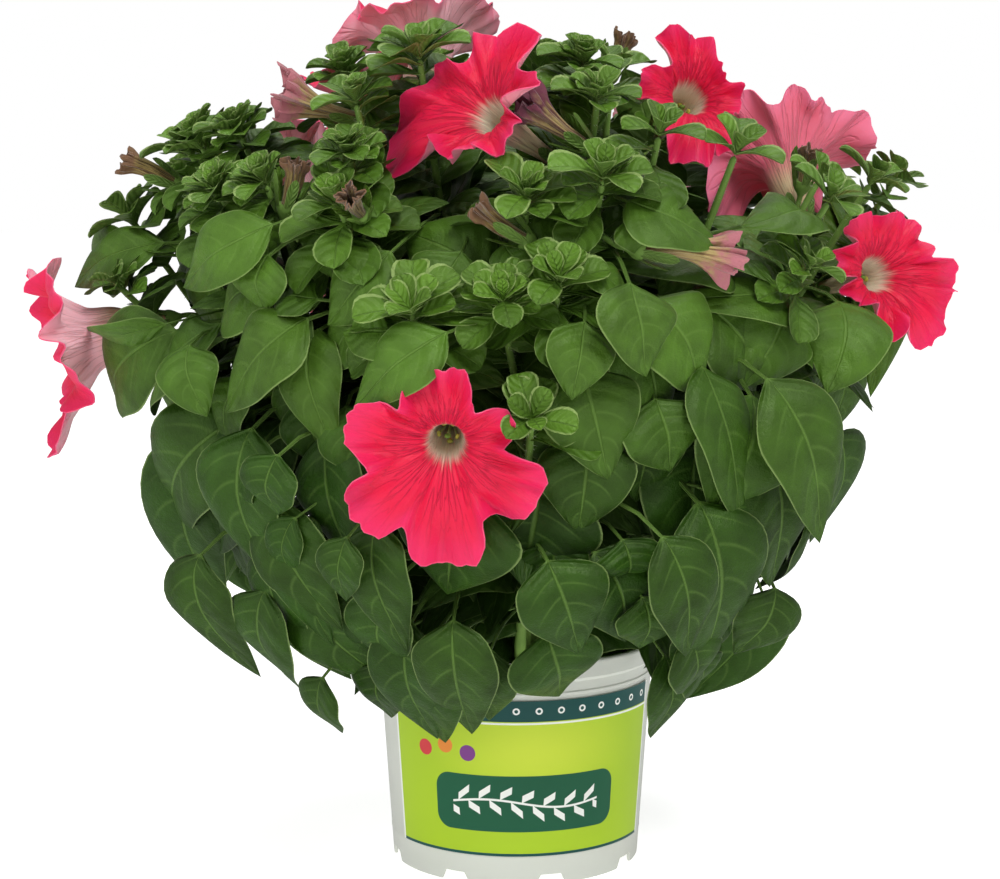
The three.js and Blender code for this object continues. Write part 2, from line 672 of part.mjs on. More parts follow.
// Twenty points round the limb: for each lobe a notch, a shoulder, its crest and a shoulder.
function limbPoints(lobes) {
  const points = [];
  lobes.forEach(([angle, length, curl], k) => {
    const before = lobes[(k + lobes.length - 1) % lobes.length];
    const after = lobes[(k + 1) % lobes.length];
    const back = k === 0 ? before[0] - 360 : before[0];
    const next = k + 1 === lobes.length ? after[0] + 360 : after[0];
    const low = (back + angle) / 2;
    const high = (angle + next) / 2;
    points.push(
      { angle: low, reach: 0.76 * Math.min(1, (length + before[1]) / 2), curl: 0.12 },
      { angle: lerp(low, angle, 0.42), reach: 0.97 * length, curl: 0.8 * curl - 0.05 },
      { angle, reach: length * 1.02, curl },
      { angle: lerp(angle, high, 0.58), reach: 0.96 * length, curl: 0.8 * curl + 0.08 },
    );
  });
  return points;
}

const COROLLA = { wall: 0.8, rootRadius: 2.3, neckRadius: 4, throatRadius: 8.5, limbShare: 0.55 };

// A funnel with an open throat. Outer and inner skins meet on the limb's edge.
function corolla(seat, axes, limbRadius, tubeLength, lobes) {
  const at = (forward, radius, angle) => add(
    along(seat, axes.forward, forward),
    add(
      scale(axes.down, radius * Math.cos(radians(angle))),
      scale(axes.right, radius * Math.sin(radians(angle))),
    ),
  );
  const limb = limbPoints(lobes);
  const tubeRing = (forward, radius) => limb.filter((_, i) => i % 2 === 0).map((p) => at(forward, radius, p.angle));
  const limbRing = (forward, share, useCurl) => limb.map((p) => (
    at(forward + useCurl * p.curl * limbRadius, limbRadius * p.reach * share, p.angle)
  ));
  const { wall } = COROLLA;
  const middle = tubeLength + 6;
  const rings = [
    tubeRing(0, COROLLA.rootRadius),
    tubeRing(tubeLength * 0.55, COROLLA.neckRadius),
    tubeRing(tubeLength, COROLLA.throatRadius),
    limbRing(middle, COROLLA.limbShare, 0.15),
    limbRing(middle + 1.5, 1, 1),
    limbRing(middle + wall, COROLLA.limbShare, 0.15),
    tubeRing(tubeLength + wall / 2, COROLLA.throatRadius - wall),
    tubeRing(tubeLength * 0.55, COROLLA.neckRadius - wall),
    [along(seat, axes.forward, tubeLength * 0.2)],
  ];
  return funnelSkin(rings);
}

// As skin(), but a ring may have twice the points of the one before or after it.
function funnelSkin(rings) {
  const points = rings.flat();
  const starts = [];
  let count = 0;
  for (const ring of rings) {
    starts.push(count);
    count += ring.length;
  }
  const faces = [];
  for (let r = 0; r + 1 < rings.length; r += 1) {
    const [near, far] = [rings[r].length, rings[r + 1].length];
    const a = (i) => starts[r] + (i % near);
    const b = (i) => starts[r + 1] + (i % far);
    if (far === 1) {
      for (let i = 0; i < near; i += 1) faces.push([a(i), a(i + 1), b(0)]);
    } else if (near === 1) {
      for (let i = 0; i < far; i += 1) faces.push([a(0), b(i + 1), b(i)]);
    } else if (near === far) {
      // The diagonals lean alike on the outer skin and on the inner one.
      const outer = r < (rings.length - 1) / 2;
      for (let i = 0; i < near; i += 1) {
        if (outer) faces.push([a(i), a(i + 1), b(i + 1)], [a(i), b(i + 1), b(i)]);
        else faces.push([a(i), a(i + 1), b(i)], [a(i + 1), b(i + 1), b(i)]);
      }
    } else if (far === 2 * near) {
      for (let i = 0; i < near; i += 1) {
        faces.push([a(i), b(2 * i + 1), b(2 * i)], [a(i), a(i + 1), b(2 * i + 1)]);
        faces.push([a(i + 1), b(2 * i + 2), b(2 * i + 1)]);
      }
    } else {
      for (let i = 0; i < far; i += 1) {
        faces.push([a(2 * i), a(2 * i + 1), b(i)], [a(2 * i + 1), b(i + 1), b(i)]);
        faces.push([a(2 * i + 1), a(2 * i + 2), b(i + 1)]);
      }
    }
  }
  for (let i = 1; i + 1 < rings[0].length; i += 1) faces.push([0, i + 1, i]);
  return solidOf(points, faces);
}

// Style and anthers in one small body that stands in the tube and shows in the throat.
function stamens(seat, axes, tubeLength) {
  const ring = (forward, radius, star) => Array.from({ length: 10 }, (_, i) => {
    const angle = 36 * i;
    const reach = i % 2 ? radius * star : radius;
    return add(
      along(seat, axes.forward, forward),
      add(scale(axes.down, reach * Math.cos(radians(angle))), scale(axes.right, reach * Math.sin(radians(angle)))),
    );
  });
  return skin([
    [along(seat, axes.forward, tubeLength * 0.3)],
    ring(tubeLength * 0.88, 3.6, 0.42),
    [along(seat, axes.forward, tubeLength * 1.02)],
  ]);
}

// A crumpled trumpet with a ragged, hollow mouth.
function witheredCorolla(seat, axes, length, mouth, index) {
  const ring = (forward, radius, crumple, ragged) => Array.from({ length: 8 }, (_, i) => {
    const angle = 45 * i;
    const reach = radius * (i % 2 ? 1 - crumple : 1);
    const uneven = ragged * (chance(index, i, 3) - 0.5);
    return add(
      along(seat, axes.forward, forward + uneven),
      add(scale(axes.down, reach * Math.cos(radians(angle))), scale(axes.right, reach * Math.sin(radians(angle)))),
    );
  });
  return skin([
    ring(0, 1.7, 0, 0),
    ring(length * 0.4, 2.8, 0.15, 0),
    ring(length * 0.75, mouth * 0.62, 0.3, 0),
    ring(length, mouth, 0.4, mouth * 0.9),
    [along(seat, axes.forward, length * 0.62)],
  ]);
}

// The stalk bends from its stem into the bloom's axis and opens into a cup with five sepals.
const CALYX = { rimRadius: 4.2, cupDepth: 6, sepalLength: 13, sepalRadius: 7.8, wall: 0.9, notchRadius: 3.5 };

function stalkSolid(from, seat, axes) {
  const foot = along(seat, axes.forward, -CALYX.cupDepth);
  const distance = size(sub(foot, from));
  const curve = [from, along(from, UP, 0.3 * distance), along(foot, axes.forward, -0.4 * distance), foot];
  const tangent = unit(sub(cubicPoint(curve, 0.6), cubicPoint(curve, 0.4)));
  const side = squareTo(axes.right, tangent);
  const ring = (forward, radius) => circle(along(seat, axes.forward, forward), axes.down, axes.right, radius, 5);
  const teeth = Array.from({ length: 10 }, (_, i) => {
    const tooth = i % 2 === 0;
    const angle = radians(36 * i);
    const out = add(scale(axes.down, Math.cos(angle)), scale(axes.right, Math.sin(angle)));
    const radius = tooth ? CALYX.sepalRadius : CALYX.notchRadius;
    return along(along(seat, axes.forward, tooth ? CALYX.sepalLength : 2), out, radius);
  });
  return funnelSkin([
    [from],
    circle(cubicPoint(curve, 0.5), cross(tangent, side), side, 1.2, 5),
    ring(-CALYX.cupDepth, 1.3),
    ring(-0.6, CALYX.rimRadius),
    teeth,
    ring(-GAP + 0.05, CALYX.rimRadius - CALYX.wall),
    [along(seat, axes.forward, -GAP)],
  ]);
}

// Seats a bloom on a near stem whose stalk reaches it from behind, clear of everything else.
function seatBloom(stems, seat, axes) {
  const foot = along(seat, axes.forward, -CALYX.cupDepth);
  for (const back of [12, 20, 30]) {
    const target = along(along(foot, axes.forward, -back), UP, -8);
    for (const { stem, point } of seatsNear(stems, target, 8)) {
      const rise = sub(foot, point);
      const roomy = size(rise) > 12 && dot(rise, axes.forward) > -0.4 * size(rise);
      const stalk = stalkSolid(point, seat, axes);
      if (roomy && isClear(stalk, stem.name)) {
        stem.taken.push(point);
        return { stem, stalk };
      }
    }
  }
  return null;
}

// ---- Leaves --------------------------------------------------------------------------------

function backLeaves() {
  const leaves = [];
  BACK_ROWS.forEach(([base, tip, width], row) => {
    const shift = row % 2 ? BACK.step / 2 : 0;
    for (let azimuth = BACK.from + shift; azimuth <= BACK.to; azimuth += BACK.step) {
      const draw = (k) => chance(azimuth, row, k) - 0.5;
      leaves.push([
        azimuth + 8 * draw(1), base + 12 * draw(2), azimuth + 24 * draw(3), tip + 14 * draw(4),
        width + 8 * draw(5), 1.0 + 0.05 * draw(6), 1.03 + 0.08 * draw(7), 24 * draw(8),
      ]);
    }
  });
  return leaves;
}

function leafBlade(from, [baseAz, baseZ, tipAz, tipZ, width, baseLayer, tipLayer, roll], bend) {
  const base = crownPoint(baseAz + bend.turn, baseZ, baseLayer + bend.layer);
  const fullTip = crownPoint(tipAz + bend.turn, tipZ, tipLayer + bend.layer);
  const tip = mix(base, fullTip, bend.reach);
  const hidden = size(sub(base, from));
  const t = THREE.MathUtils.clamp(hidden / (hidden + size(sub(tip, base))), 0.25, 0.6);
  const control = scale(
    sub(sub(base, scale(from, (1 - t) ** 2)), scale(tip, t * t)),
    1 / (2 * t * (1 - t)),
  );
  return {
    spine: [from, control, tip],
    look: outlook(baseAz, baseZ),
    roll: roll + bend.roll,
    halfWidth: width / 2,
    thickness: LEAF.thickness,
    fold: LEAF.fold,
    stations: LARGE_STATIONS,
  };
}

function placeLeaf(stems, leaf) {
  const [azimuth, height, , , , layer] = leaf;
  const target = crownPoint(azimuth, height + 6, layer - 0.33);
  for (const { stem, point } of seatsNear(stems, target, 3)) {
    for (const bend of LEAF_BENDS) {
      const shape = leafBlade(point, leaf, bend);
      const rooted = size(sub(spinePoint(shape.spine, LARGE_STATIONS[0][0]), point)) > 9;
      if (rooted && placeBlade(stem.name, shape, LEAF.spread)) {
        stem.taken.push(point);
        return true;
      }
    }
  }
  return false;
}

// Leaf k of a rosette. Wide open outer leaves alternate with shorter, steeper inner ones.
function youngLeaf(stem, end, tipIndex, k, bend) {
  const draw = (n) => chance(stem.index, tipIndex, 10 * k + n) - 0.5;
  const lead = squareTo(UP, end.axis);
  const start = 360 * chance(stem.index, tipIndex, 1);
  const turn = radians(start + (360 / end.leafCount) * k + 8 * draw(2) + bend.turn);
  const out = add(scale(lead, Math.cos(turn)), scale(cross(end.axis, lead), Math.sin(turn)));
  const inner = k % 2 === 1;
  const open = radians((inner ? 46 : 78) + 10 * draw(3) + bend.open);
  const length = end.leafLength * (inner ? 0.74 : 1) * (1 + 0.12 * draw(4)) * bend.size;
  const heading = (angle) => add(scale(end.axis, Math.cos(angle)), scale(out, Math.sin(angle)));
  const root = along(end.point, end.axis, ROSETTE.lift);
  return {
    spine: [root, along(root, heading(open - 0.32), length * 0.55), along(root, heading(open), length)],
    look: end.axis,
    roll: 0,
    halfWidth: length * YOUNG.widthShare,
    thickness: YOUNG.thickness,
    fold: YOUNG.fold,
    stations: SMALL_STATIONS,
    slim: true,
  };
}

// The leaf bent clear of its neighbours, or null where it has no room.
function clearYoungLeaf(stem, end, tipIndex, k) {
  for (const bend of ROSETTE_BENDS) {
    const shape = youngLeaf(stem, end, tipIndex, k, bend);
    const trial = blade(shape, YOUNG.spread);
    const clear = isClear(trial, stem.name, outerBlade(shape));
    trial.delete();
    if (clear) {
      standIn(stem.name, blade(shape), outerBlade(shape));
      return shape;
    }
  }
  return null;
}

// A branch and the rosette at its tip are one body. Between each two leaves lies a notch point.
function branchSolid(stem, tipIndex) {
  const end = stem.ends[tipIndex];
  const lead = squareTo(UP, end.axis);
  const start = 360 * chance(stem.index, tipIndex, 1);
  const rings = branchRings(stem, tipIndex);
  const collar = rings.at(-1);
  const points = rings.flat();
  const faces = ringFaces(rings);
  // The collar's points are matched to the notches by the least turn.
  const notches = Array.from({ length: end.leafCount }, (_, k) => {
    const turn = radians(start + (360 / end.leafCount) * (k - 0.5));
    const out = add(scale(lead, Math.cos(turn)), scale(cross(end.axis, lead), Math.sin(turn)));
    return along(along(end.point, out, ROSETTE.notchRadius), end.axis, ROSETTE.lift - 0.6);
  });
  const distances = collar.map((point) => size(sub(point, notches[0])));
  const offset = distances.indexOf(Math.min(...distances));
  const base = points.length;
  const low = (k) => base - end.leafCount + ((offset + k) % end.leafCount);
  const notch = (k) => base + 1 + (k % end.leafCount);
  points.push(along(end.point, end.axis, ROSETTE.lift + ROSETTE.top), ...notches);
  for (let k = 0; k < end.leafCount; k += 1) {
    const [near, far] = [notch(k), notch(k + 1)];
    const shape = clearYoungLeaf(stem, end, tipIndex, k);
    faces.push([base, near, far]);
    if (!shape) {
      faces.push([low(k), low(k + 1), far], [low(k), far, near]);
    } else {
      const [l, r, m] = [0, 1, 2].map((i) => points.length + i);
      const tip = points.length + 3 * shape.stations.length;
      for (const station of shape.stations) points.push(...bladeSection(shape, station, 0));
      points.push(shape.spine[2]);
      faces.push([near, r, l], [near, l, far], [far, l, m], [m, r, near]);
      faces.push([low(k), low(k + 1), m], [low(k + 1), far, m], [low(k), m, near]);
      for (let s = 0; l + 3 * (s + 1) < tip; s += 1) {
        const [a, b, c] = [l + 3 * s, r + 3 * s, m + 3 * s];
        faces.push(
          [b, b + 3, a + 3], [b, a + 3, a], [a, a + 3, c + 3], [a, c + 3, c], [c, c + 3, b + 3], [c, b + 3, b],
        );
      }
      faces.push([tip - 2, tip, tip - 3], [tip - 3, tip, tip - 1], [tip - 1, tip, tip - 2]);
    }
  }
  return solidOf(points, faces);
}

// ---- The plant -----------------------------------------------------------------------------

const twoDigits = (index) => String(index + 1).padStart(2, '0');
const stems = STEM_PLANS.map(planStem);

place('pot', COLOURS.pot, buildPot());
place('label', COLOURS.label, buildLabel());
place('soil', COLOURS.soil, buildSoil(stems));
for (const stem of stems) {
  nodes.set(stem.name, { colour: COLOURS.leaf, pieces: [] });
  stem.ends.forEach((end, tipIndex) => standIn(stem.name, bareBranch(stem, tipIndex)));
}

BLOOM_PLANS.forEach(([throat, face, radius, tubeLength, lobes], index) => {
  const axes = bloomAxes(face);
  const seat = along(throat, axes.forward, -tubeLength);
  place(`bloom_${twoDigits(index)}`, COLOURS.petal, corolla(seat, axes, radius, tubeLength, lobes));
  place(`stamens_${twoDigits(index)}`, COLOURS.stamen, stamens(seat, axes, tubeLength));
});
WITHERED_PLANS.forEach(([seat, mouth, mouthRadius], index) => {
  const axes = bloomAxes(sub(mouth, seat));
  const length = size(sub(mouth, seat));
  const solid = witheredCorolla(seat, axes, length, mouthRadius, index);
  place(`withered_${twoDigits(index)}`, COLOURS.withered, solid);
});
for (const [throat, face, , tubeLength] of BLOOM_PLANS) {
  const axes = bloomAxes(face);
  const seat = along(throat, axes.forward, -tubeLength);
  const { stem, stalk } = seatBloom(stems, seat, axes);
  place(stem.name, COLOURS.leaf, stalk);
}
for (const [seat, mouth] of WITHERED_PLANS) {
  const axes = bloomAxes(sub(mouth, seat));
  const { stem, stalk } = seatBloom(stems, seat, axes);
  place(stem.name, COLOURS.leaf, stalk);
}

for (const leaf of [...FRONT_LEAVES, ...backLeaves()]) placeLeaf(stems, leaf);
for (const stem of stems) {
  const branches = stem.ends.map((end, tipIndex) => branchSolid(stem, tipIndex));
  nodes.get(stem.name).pieces.push(...branches);
}

// ---- Meshes --------------------------------------------------------------------------------

function meshOf(solid, name, colour) {
  const { vertProperties, triVerts } = solid.getMesh();
  const geometry = new THREE.BufferGeometry();
  geometry.setAttribute('position', new THREE.BufferAttribute(vertProperties, 3));
  geometry.setIndex(new THREE.BufferAttribute(triVerts, 1));
  geometry.computeVertexNormals();
  const material = new THREE.MeshStandardMaterial({ color: colour, roughness: 0.6, metalness: 0 });
  const mesh = new THREE.Mesh(geometry, material);
  mesh.name = name;
  return mesh;
}

const group = new THREE.Group();
for (const [name, { pieces, colour }] of nodes) group.add(meshOf(fuse(pieces), name, colour));

export default group;
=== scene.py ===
"""A potted petunia: its fine pieces and finishes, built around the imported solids.

Sizes are in millimetres and angles in degrees, and the meshes are made in metres. +Z is up, -Y points at
the viewer, azimuth 0 is the front and +90 the viewer's right. The plan of the plant repeats the plan of the
solids. Where a solid leaf was bent clear of its neighbours, its fine leaf takes the same bend, which is
read from the place of the leaf's tip in the frame.
"""

import logging
import math
from dataclasses import dataclass, field, replace
from enum import Enum
from functools import lru_cache
from typing import Iterator, Sequence

import bpy
import numpy as np
from mathutils import Euler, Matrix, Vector
from mathutils.kdtree import KDTree

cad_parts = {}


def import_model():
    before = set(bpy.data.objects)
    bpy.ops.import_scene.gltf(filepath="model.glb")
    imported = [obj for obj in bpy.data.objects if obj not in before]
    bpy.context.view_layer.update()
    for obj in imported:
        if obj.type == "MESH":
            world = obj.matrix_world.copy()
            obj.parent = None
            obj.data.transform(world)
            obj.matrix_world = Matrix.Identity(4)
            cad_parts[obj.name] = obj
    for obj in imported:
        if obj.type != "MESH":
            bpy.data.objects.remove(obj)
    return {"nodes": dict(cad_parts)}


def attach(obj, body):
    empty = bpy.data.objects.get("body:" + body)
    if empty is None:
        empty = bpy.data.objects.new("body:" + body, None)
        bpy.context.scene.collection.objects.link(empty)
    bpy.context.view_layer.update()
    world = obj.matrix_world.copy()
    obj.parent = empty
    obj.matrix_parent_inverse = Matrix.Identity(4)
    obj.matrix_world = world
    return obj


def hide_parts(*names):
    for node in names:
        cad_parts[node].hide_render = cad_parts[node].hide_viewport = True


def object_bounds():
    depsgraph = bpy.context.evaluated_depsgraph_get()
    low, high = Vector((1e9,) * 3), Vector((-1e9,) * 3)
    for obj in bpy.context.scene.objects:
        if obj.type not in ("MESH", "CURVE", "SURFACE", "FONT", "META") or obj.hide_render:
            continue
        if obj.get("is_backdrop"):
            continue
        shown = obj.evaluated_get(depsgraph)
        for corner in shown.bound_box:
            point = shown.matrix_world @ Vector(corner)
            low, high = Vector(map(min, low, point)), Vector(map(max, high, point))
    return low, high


LOG = logging.getLogger("petunia")
METRES = 0.001
UP = np.array([0.0, 0.0, 1.0])

# ---- The plan of the plant, as the solids have it ----------------------------------------------------

GAP = 0.3
POT_HEIGHT = 95.0
SOIL_EDGE = 82.5
SOIL_MIDDLE = 85.2
SOIL_HOLE = 12.0
CROWN_RADIUS = 160.0
CROWN_MIDDLE = 195.0
CROWN_RISE = 160.0
CROWN_DROP = 155.0
CROWN_POWERS = (2.0, 2.5)  # how full the crown's lower and upper outline is: 2 is an ellipse
LOOK_RISE = (14, 58)  # how far side leaves look up, and how much further those on top do
STEM_STEPS = (0.0, 0.22, 0.45, 0.7, 1.0)
FORK_STEPS = (0.0, 0.35, 0.68, 1.0)
SEATS_PER_STEP = 16
SEAT_SPACING = 4.0
ROSETTE_LIFT = 2.4
CALYX_DEPTH = 6.0

# Root ring radius, then the tips as azimuth, height, layer, leaf count, leaf length.
STEM_PLANS = (
    (43, ((-87, 270, 1.06, 6, 24), (-78, 245, 1.05, 5, 19))),
    (29, ((-76, 299, 1.0, 5, 22), (-70, 302, 1.0, 6, 23))),
    (43, ((-51, 283, 1.0, 6, 22), (-58, 306, 0.97, 5, 20))),
    (30, ((-41, 287, 1.0, 6, 21), (-44, 328, 0.88, 5, 20))),
    (42, ((-26, 279, 1.0, 6, 24), (-27, 298, 1.0, 5, 20), (-31, 317, 0.97, 5, 19))),
    (15, ((-22, 334, 1.0, 7, 26), (-48, 333, 0.5, 5, 21), (-150, 322, 0.6, 5, 22))),
    (46, ((-13.5, 243, 1.03, 7, 24),)),
    (23, ((1, 283, 1.0, 6, 23),)),
    (47, ((1.5, 206, 1.03, 6, 22),)),
    (34, ((5, 254, 1.03, 6, 23), (-2, 247, 1.02, 5, 22))),
    (12, ((15, 331, 0.93, 6, 21), (35, 329, 0.6, 5, 22), (110, 320, 0.62, 5, 22))),
    (28, ((12, 290, 1.02, 6, 24), (14, 318, 1.0, 5, 21))),
    (37, ((23, 305, 1.0, 6, 23), (19, 325, 0.96, 5, 20))),
    (25, ((36, 298, 1.0, 6, 25),)),
    (44, ((54, 280, 1.0, 6, 22), (46, 256, 0.98, 5, 19))),
    (33, ((72, 286, 1.03, 5, 22), (62, 287, 0.93, 5, 20))),
    (43, ((89, 284, 1.08, 6, 23), (83, 258, 1.02, 5, 21))),
    (28, ((104, 302, 1.0, 6, 23), (112, 268, 1.02, 6, 23))),
    (43, ((124, 284, 1.0, 6, 24), (122, 246, 1.02, 5, 22))),
    (29, ((137, 318, 0.98, 5, 22), (144, 298, 1.0, 6, 23))),
    (43, ((157, 260, 1.02, 6, 24), (164, 286, 1.0, 5, 21))),
    (24, ((172, 334, 0.75, 5, 22), (180, 308, 1.0, 6, 24), (222, 326, 0.8, 5, 22))),
    (43, ((190, 274, 1.02, 6, 23), (186, 238, 1.03, 5, 22))),
    (30, ((206, 324, 0.95, 5, 22), (214, 297, 1.0, 6, 23))),
    (42, ((233, 262, 1.02, 6, 23), (256, 286, 1.0, 6, 22))),
)

# Azimuth and height of a blade's base and of its tip, width, layers of base and tip, roll.
FRONT_LEAVES = (
    (-78, 262, -88, 244, 20, 1.0, 1.2, 0),
    (-88, 257, -104, 241, 28, 0.98, 1.12, 0),
    (-64, 233, -86, 221, 14, 0.98, 1.08, 25),
    (-62, 228, -84, 190, 33, 1.0, 1.05, 0),
    (-50, 227, -45, 203, 24, 1.02, 1.04, 0),
    (-31, 238, -43.5, 204, 33, 1.0, 1.02, 0),
    (-42, 272, -58, 249, 25, 1.0, 1.02, 0),
    (-36, 263, -37, 242, 28, 1.02, 1.03, 0),
    (-30, 233, -26, 189, 26, 1.0, 1.02, 0),
    (-40, 254, -60, 228, 33, 0.93, 0.95, 0),
    (-44, 215, -48, 186, 28, 0.9, 0.92, 0),
    (-21, 265, -30, 239, 29, 0.98, 1.0, 0),
    (-16, 238, -24, 239, 21, 0.98, 0.98, 0),
    (-10, 236, -21.5, 211, 25, 1.02, 1.03, 0),
    (-12, 239, -5, 243, 24, 1.0, 1.0, 0),
    (1, 246, -13.5, 264, 34, 0.97, 1.0, 0),
    (5, 241, 3.5, 214, 24, 1.05, 1.08, 0),
    (8.5, 255, 10.5, 221, 32, 1.02, 1.05, 0),
    (8.5, 222, 12.3, 183, 36, 0.98, 1.0, 0),
    (17, 282, 30, 271, 32, 1.0, 1.02, 0),
    (12, 262, 20, 247, 18, 1.0, 1.02, 30),
    (20, 278, 22, 264, 22, 0.98, 1.0, 0),
    (16, 245, 27.5, 203, 41, 1.02, 1.05, 0),
    (19, 212, 22, 184, 35, 0.95, 0.97, 0),
    (46, 247, 23, 251, 31, 0.97, 0.99, 0),
    (48, 278, 34, 276, 27, 0.98, 1.0, 0),
    (57, 240, 49, 211, 35, 1.0, 1.03, 0),
    (40, 236, 44, 213, 27, 0.92, 0.95, 0),
    (58, 224, 66, 211, 23, 1.0, 1.0, 0),
    (39, 213, 49, 152, 33, 1.02, 1.06, 0),
    (35, 207, 29, 165, 47, 1.0, 1.02, 0),
    (41, 183, 46, 132, 41, 0.97, 1.0, 0),
    (27, 167, 36, 100, 44, 1.02, 1.05, 0),
    (48, 132, 45, 102, 30, 0.97, 1.0, 0),
    (19.5, 159, 26.5, 111, 28, 1.0, 1.03, 0),
    (29, 120, 36, 88, 27, 1.0, 1.05, 0),
    (31, 103, 36.5, 64, 21, 0.98, 1.22, 0),
    (38, 107, 44.5, 83, 23, 0.98, 1.02, 0),
    (13.5, 197, 12, 150, 35, 1.02, 1.05, 0),
    (18, 184, 20, 157, 30, 0.97, 0.99, 0),
    (15, 160, 16.5, 139, 26, 0.94, 0.96, 0),
    (22, 137, 24, 111, 25, 0.95, 0.97, 0),
    (5, 182, 8, 145, 27, 1.0, 1.02, 0),
    (4.5, 151, 10.5, 112, 34, 1.0, 1.02, 0),
    (5, 120, 11.3, 85, 36, 0.96, 0.88, 0),
    (2, 187, 4, 166, 30, 0.95, 0.97, 0),
    (-3, 174, -9.5, 122, 48, 1.02, 1.04, 0),
    (-16.5, 163, -14.5, 113, 27, 1.0, 1.03, 0),
    (-21, 134, -25, 101, 29, 1.0, 1.02, 0),
    (-10, 124, -11.3, 71, 27, 0.98, 0.98, 0),
    (-3, 131, -2, 105, 30, 0.9, 0.9, 0),
    (-17, 110, -21.8, 61, 27, 0.98, 1.12, 0),
    (-5, 112, -6.6, 76, 22, 0.93, 0.95, 0),
    (-41, 193, -41.5, 137, 39, 1.02, 1.05, 0),
    (-52, 196, -84, 137, 35, 0.98, 1.07, 0),
    (-62, 180, -80, 100, 35, 1.02, 1.15, 0),
    (-55, 140, -58, 88, 33, 1.02, 1.06, 0),
    (-44, 129, -54, 82, 33, 0.98, 1.02, 0),
    (-36, 166, -30, 118, 34, 1.0, 1.02, 0),
    (-32, 191, -34, 165, 27, 0.98, 1.0, 0),
    (-25, 207, -21, 180, 27, 0.93, 0.95, 0),
    (-22, 163, -24, 135, 19, 1.0, 1.03, 0),
    (-36, 133, -27, 92, 35, 1.0, 1.02, 0),
    (-38, 98, -43, 67, 23, 0.98, 1.18, 0),
)

# Rows of large leaves on the far side: base height, tip height, width.
BACK_ROWS = ((118, 76, 30), (150, 104, 35), (186, 138, 38), (216, 172, 35), (244, 206, 32), (272, 244, 29))
BACK_FROM, BACK_TO, BACK_STEP = 74, 286, 30

# Throat, facing direction, limb radius, tube length, five lobes as angle, length share, curl.
BLOOM_PLANS = (
    ((-26, -160, 198), (-0.05, -0.97, -0.18), 38, 38,
     ((0, 1.12, 0.05), (54, 1.14, 0.0), (100, 0.9, 0.1), (178, 0.76, 0.05), (302, 0.95, 0.1))),
    ((-181, -20, 221), (-0.96, -0.12, -0.25), 40, 38,
     ((0, 1.05, 0.35), (72, 0.95, -0.1), (144, 0.92, -0.1), (216, 0.95, -0.1), (288, 0.9, -0.15))),
    ((-38, 2, 342), (-0.05, 0.4, 0.92), 37, 38,
     ((20, 1.0, -0.15), (88, 1.05, -0.2), (160, 1.0, 0.1), (232, 0.9, 0.2), (300, 0.85, 0.1))),
    ((-11, -118, 314), (-0.62, -0.62, 0.42), 40, 36,
     ((58, 1.12, -0.05), (108, 0.85, 0.0), (165, 0.75, 0.05), (226, 0.9, 0.1), (312, 0.66, 0.0))),
    ((68, -55, 321), (0.3, -0.85, 0.4), 31, 36,
     ((12, 1.05, 0.0), (96, 0.75, 0.1), (158, 0.82, 0.2), (204, 0.75, 0.1), (318, 0.85, 0.0))),
    ((112, -6, 295), (-0.1, 0.72, 0.68), 36, 36,
     ((22, 0.85, -0.3), (96, 1.05, 0.0), (168, 0.78, 0.1), (222, 0.85, 0.15), (312, 0.98, -0.5))),
    ((142, -58, 252), (0.5, -0.82, 0.22), 34, 34,
     ((8, 0.76, 0.0), (92, 0.78, 0.1), (160, 0.72, 0.1), (228, 0.78, 0.1), (310, 1.02, 0.0))),
    ((-57, -42, 322), (-0.35, 0.1, 0.93), 27, 34,
     ((0, 1.0, 0.2), (72, 0.9, 0.4), (144, 1.0, 0.3), (216, 0.9, 0.3), (288, 1.0, 0.3))),
    ((72, 134, 292), (0.35, 0.75, 0.5), 35, 36,
     ((0, 1.05, 0.0), (72, 1.0, 0.2), (144, 0.95, -0.2), (216, 1.0, 0.1), (288, 0.95, 0.0))),
    ((-62, 158, 232), (-0.35, 0.92, 0.1), 36, 38,
     ((0, 1.1, 0.1), (72, 0.95, 0.0), (144, 0.9, -0.3), (216, 0.95, 0.2), (288, 1.05, 0.0))),
    ((-97, 84, 284), (-0.6, 0.3, 0.74), 34, 36,
     ((0, 1.0, -0.2), (72, 1.0, 0.1), (144, 0.95, 0.3), (216, 1.0, 0.2), (288, 0.95, -0.1))),
)

# Blooms that the viewer sees, by number, and where the viewer stands.
SHOWN_BLOOMS = (0, 1, 3, 4, 5, 6)
VIEWER = np.array([-6.7, -1000.0, 311.0])

# Calyx, mouth, mouth radius.
WITHERED_PLANS = (
    ((-61, -81, 313), (-90, -87, 323), 10),
    ((25, -119, 303), (2, -126, 320), 8),
    ((114, -46, 288), (116, -49, 301), 4.5),
    ((44, -140, 266), (79, -127, 262), 9),
    ((38, -20, 331), (44, -20, 347), 5.5),
    ((-138, -32, 287), (-159, -32, 296), 5),
    ((-86, -112, 281), (-82, -115, 297), 5),
    ((-57, -138, 279), (-60, -152, 286), 5),
    ((2, -146, 270), (-15, -147, 282), 5),
)

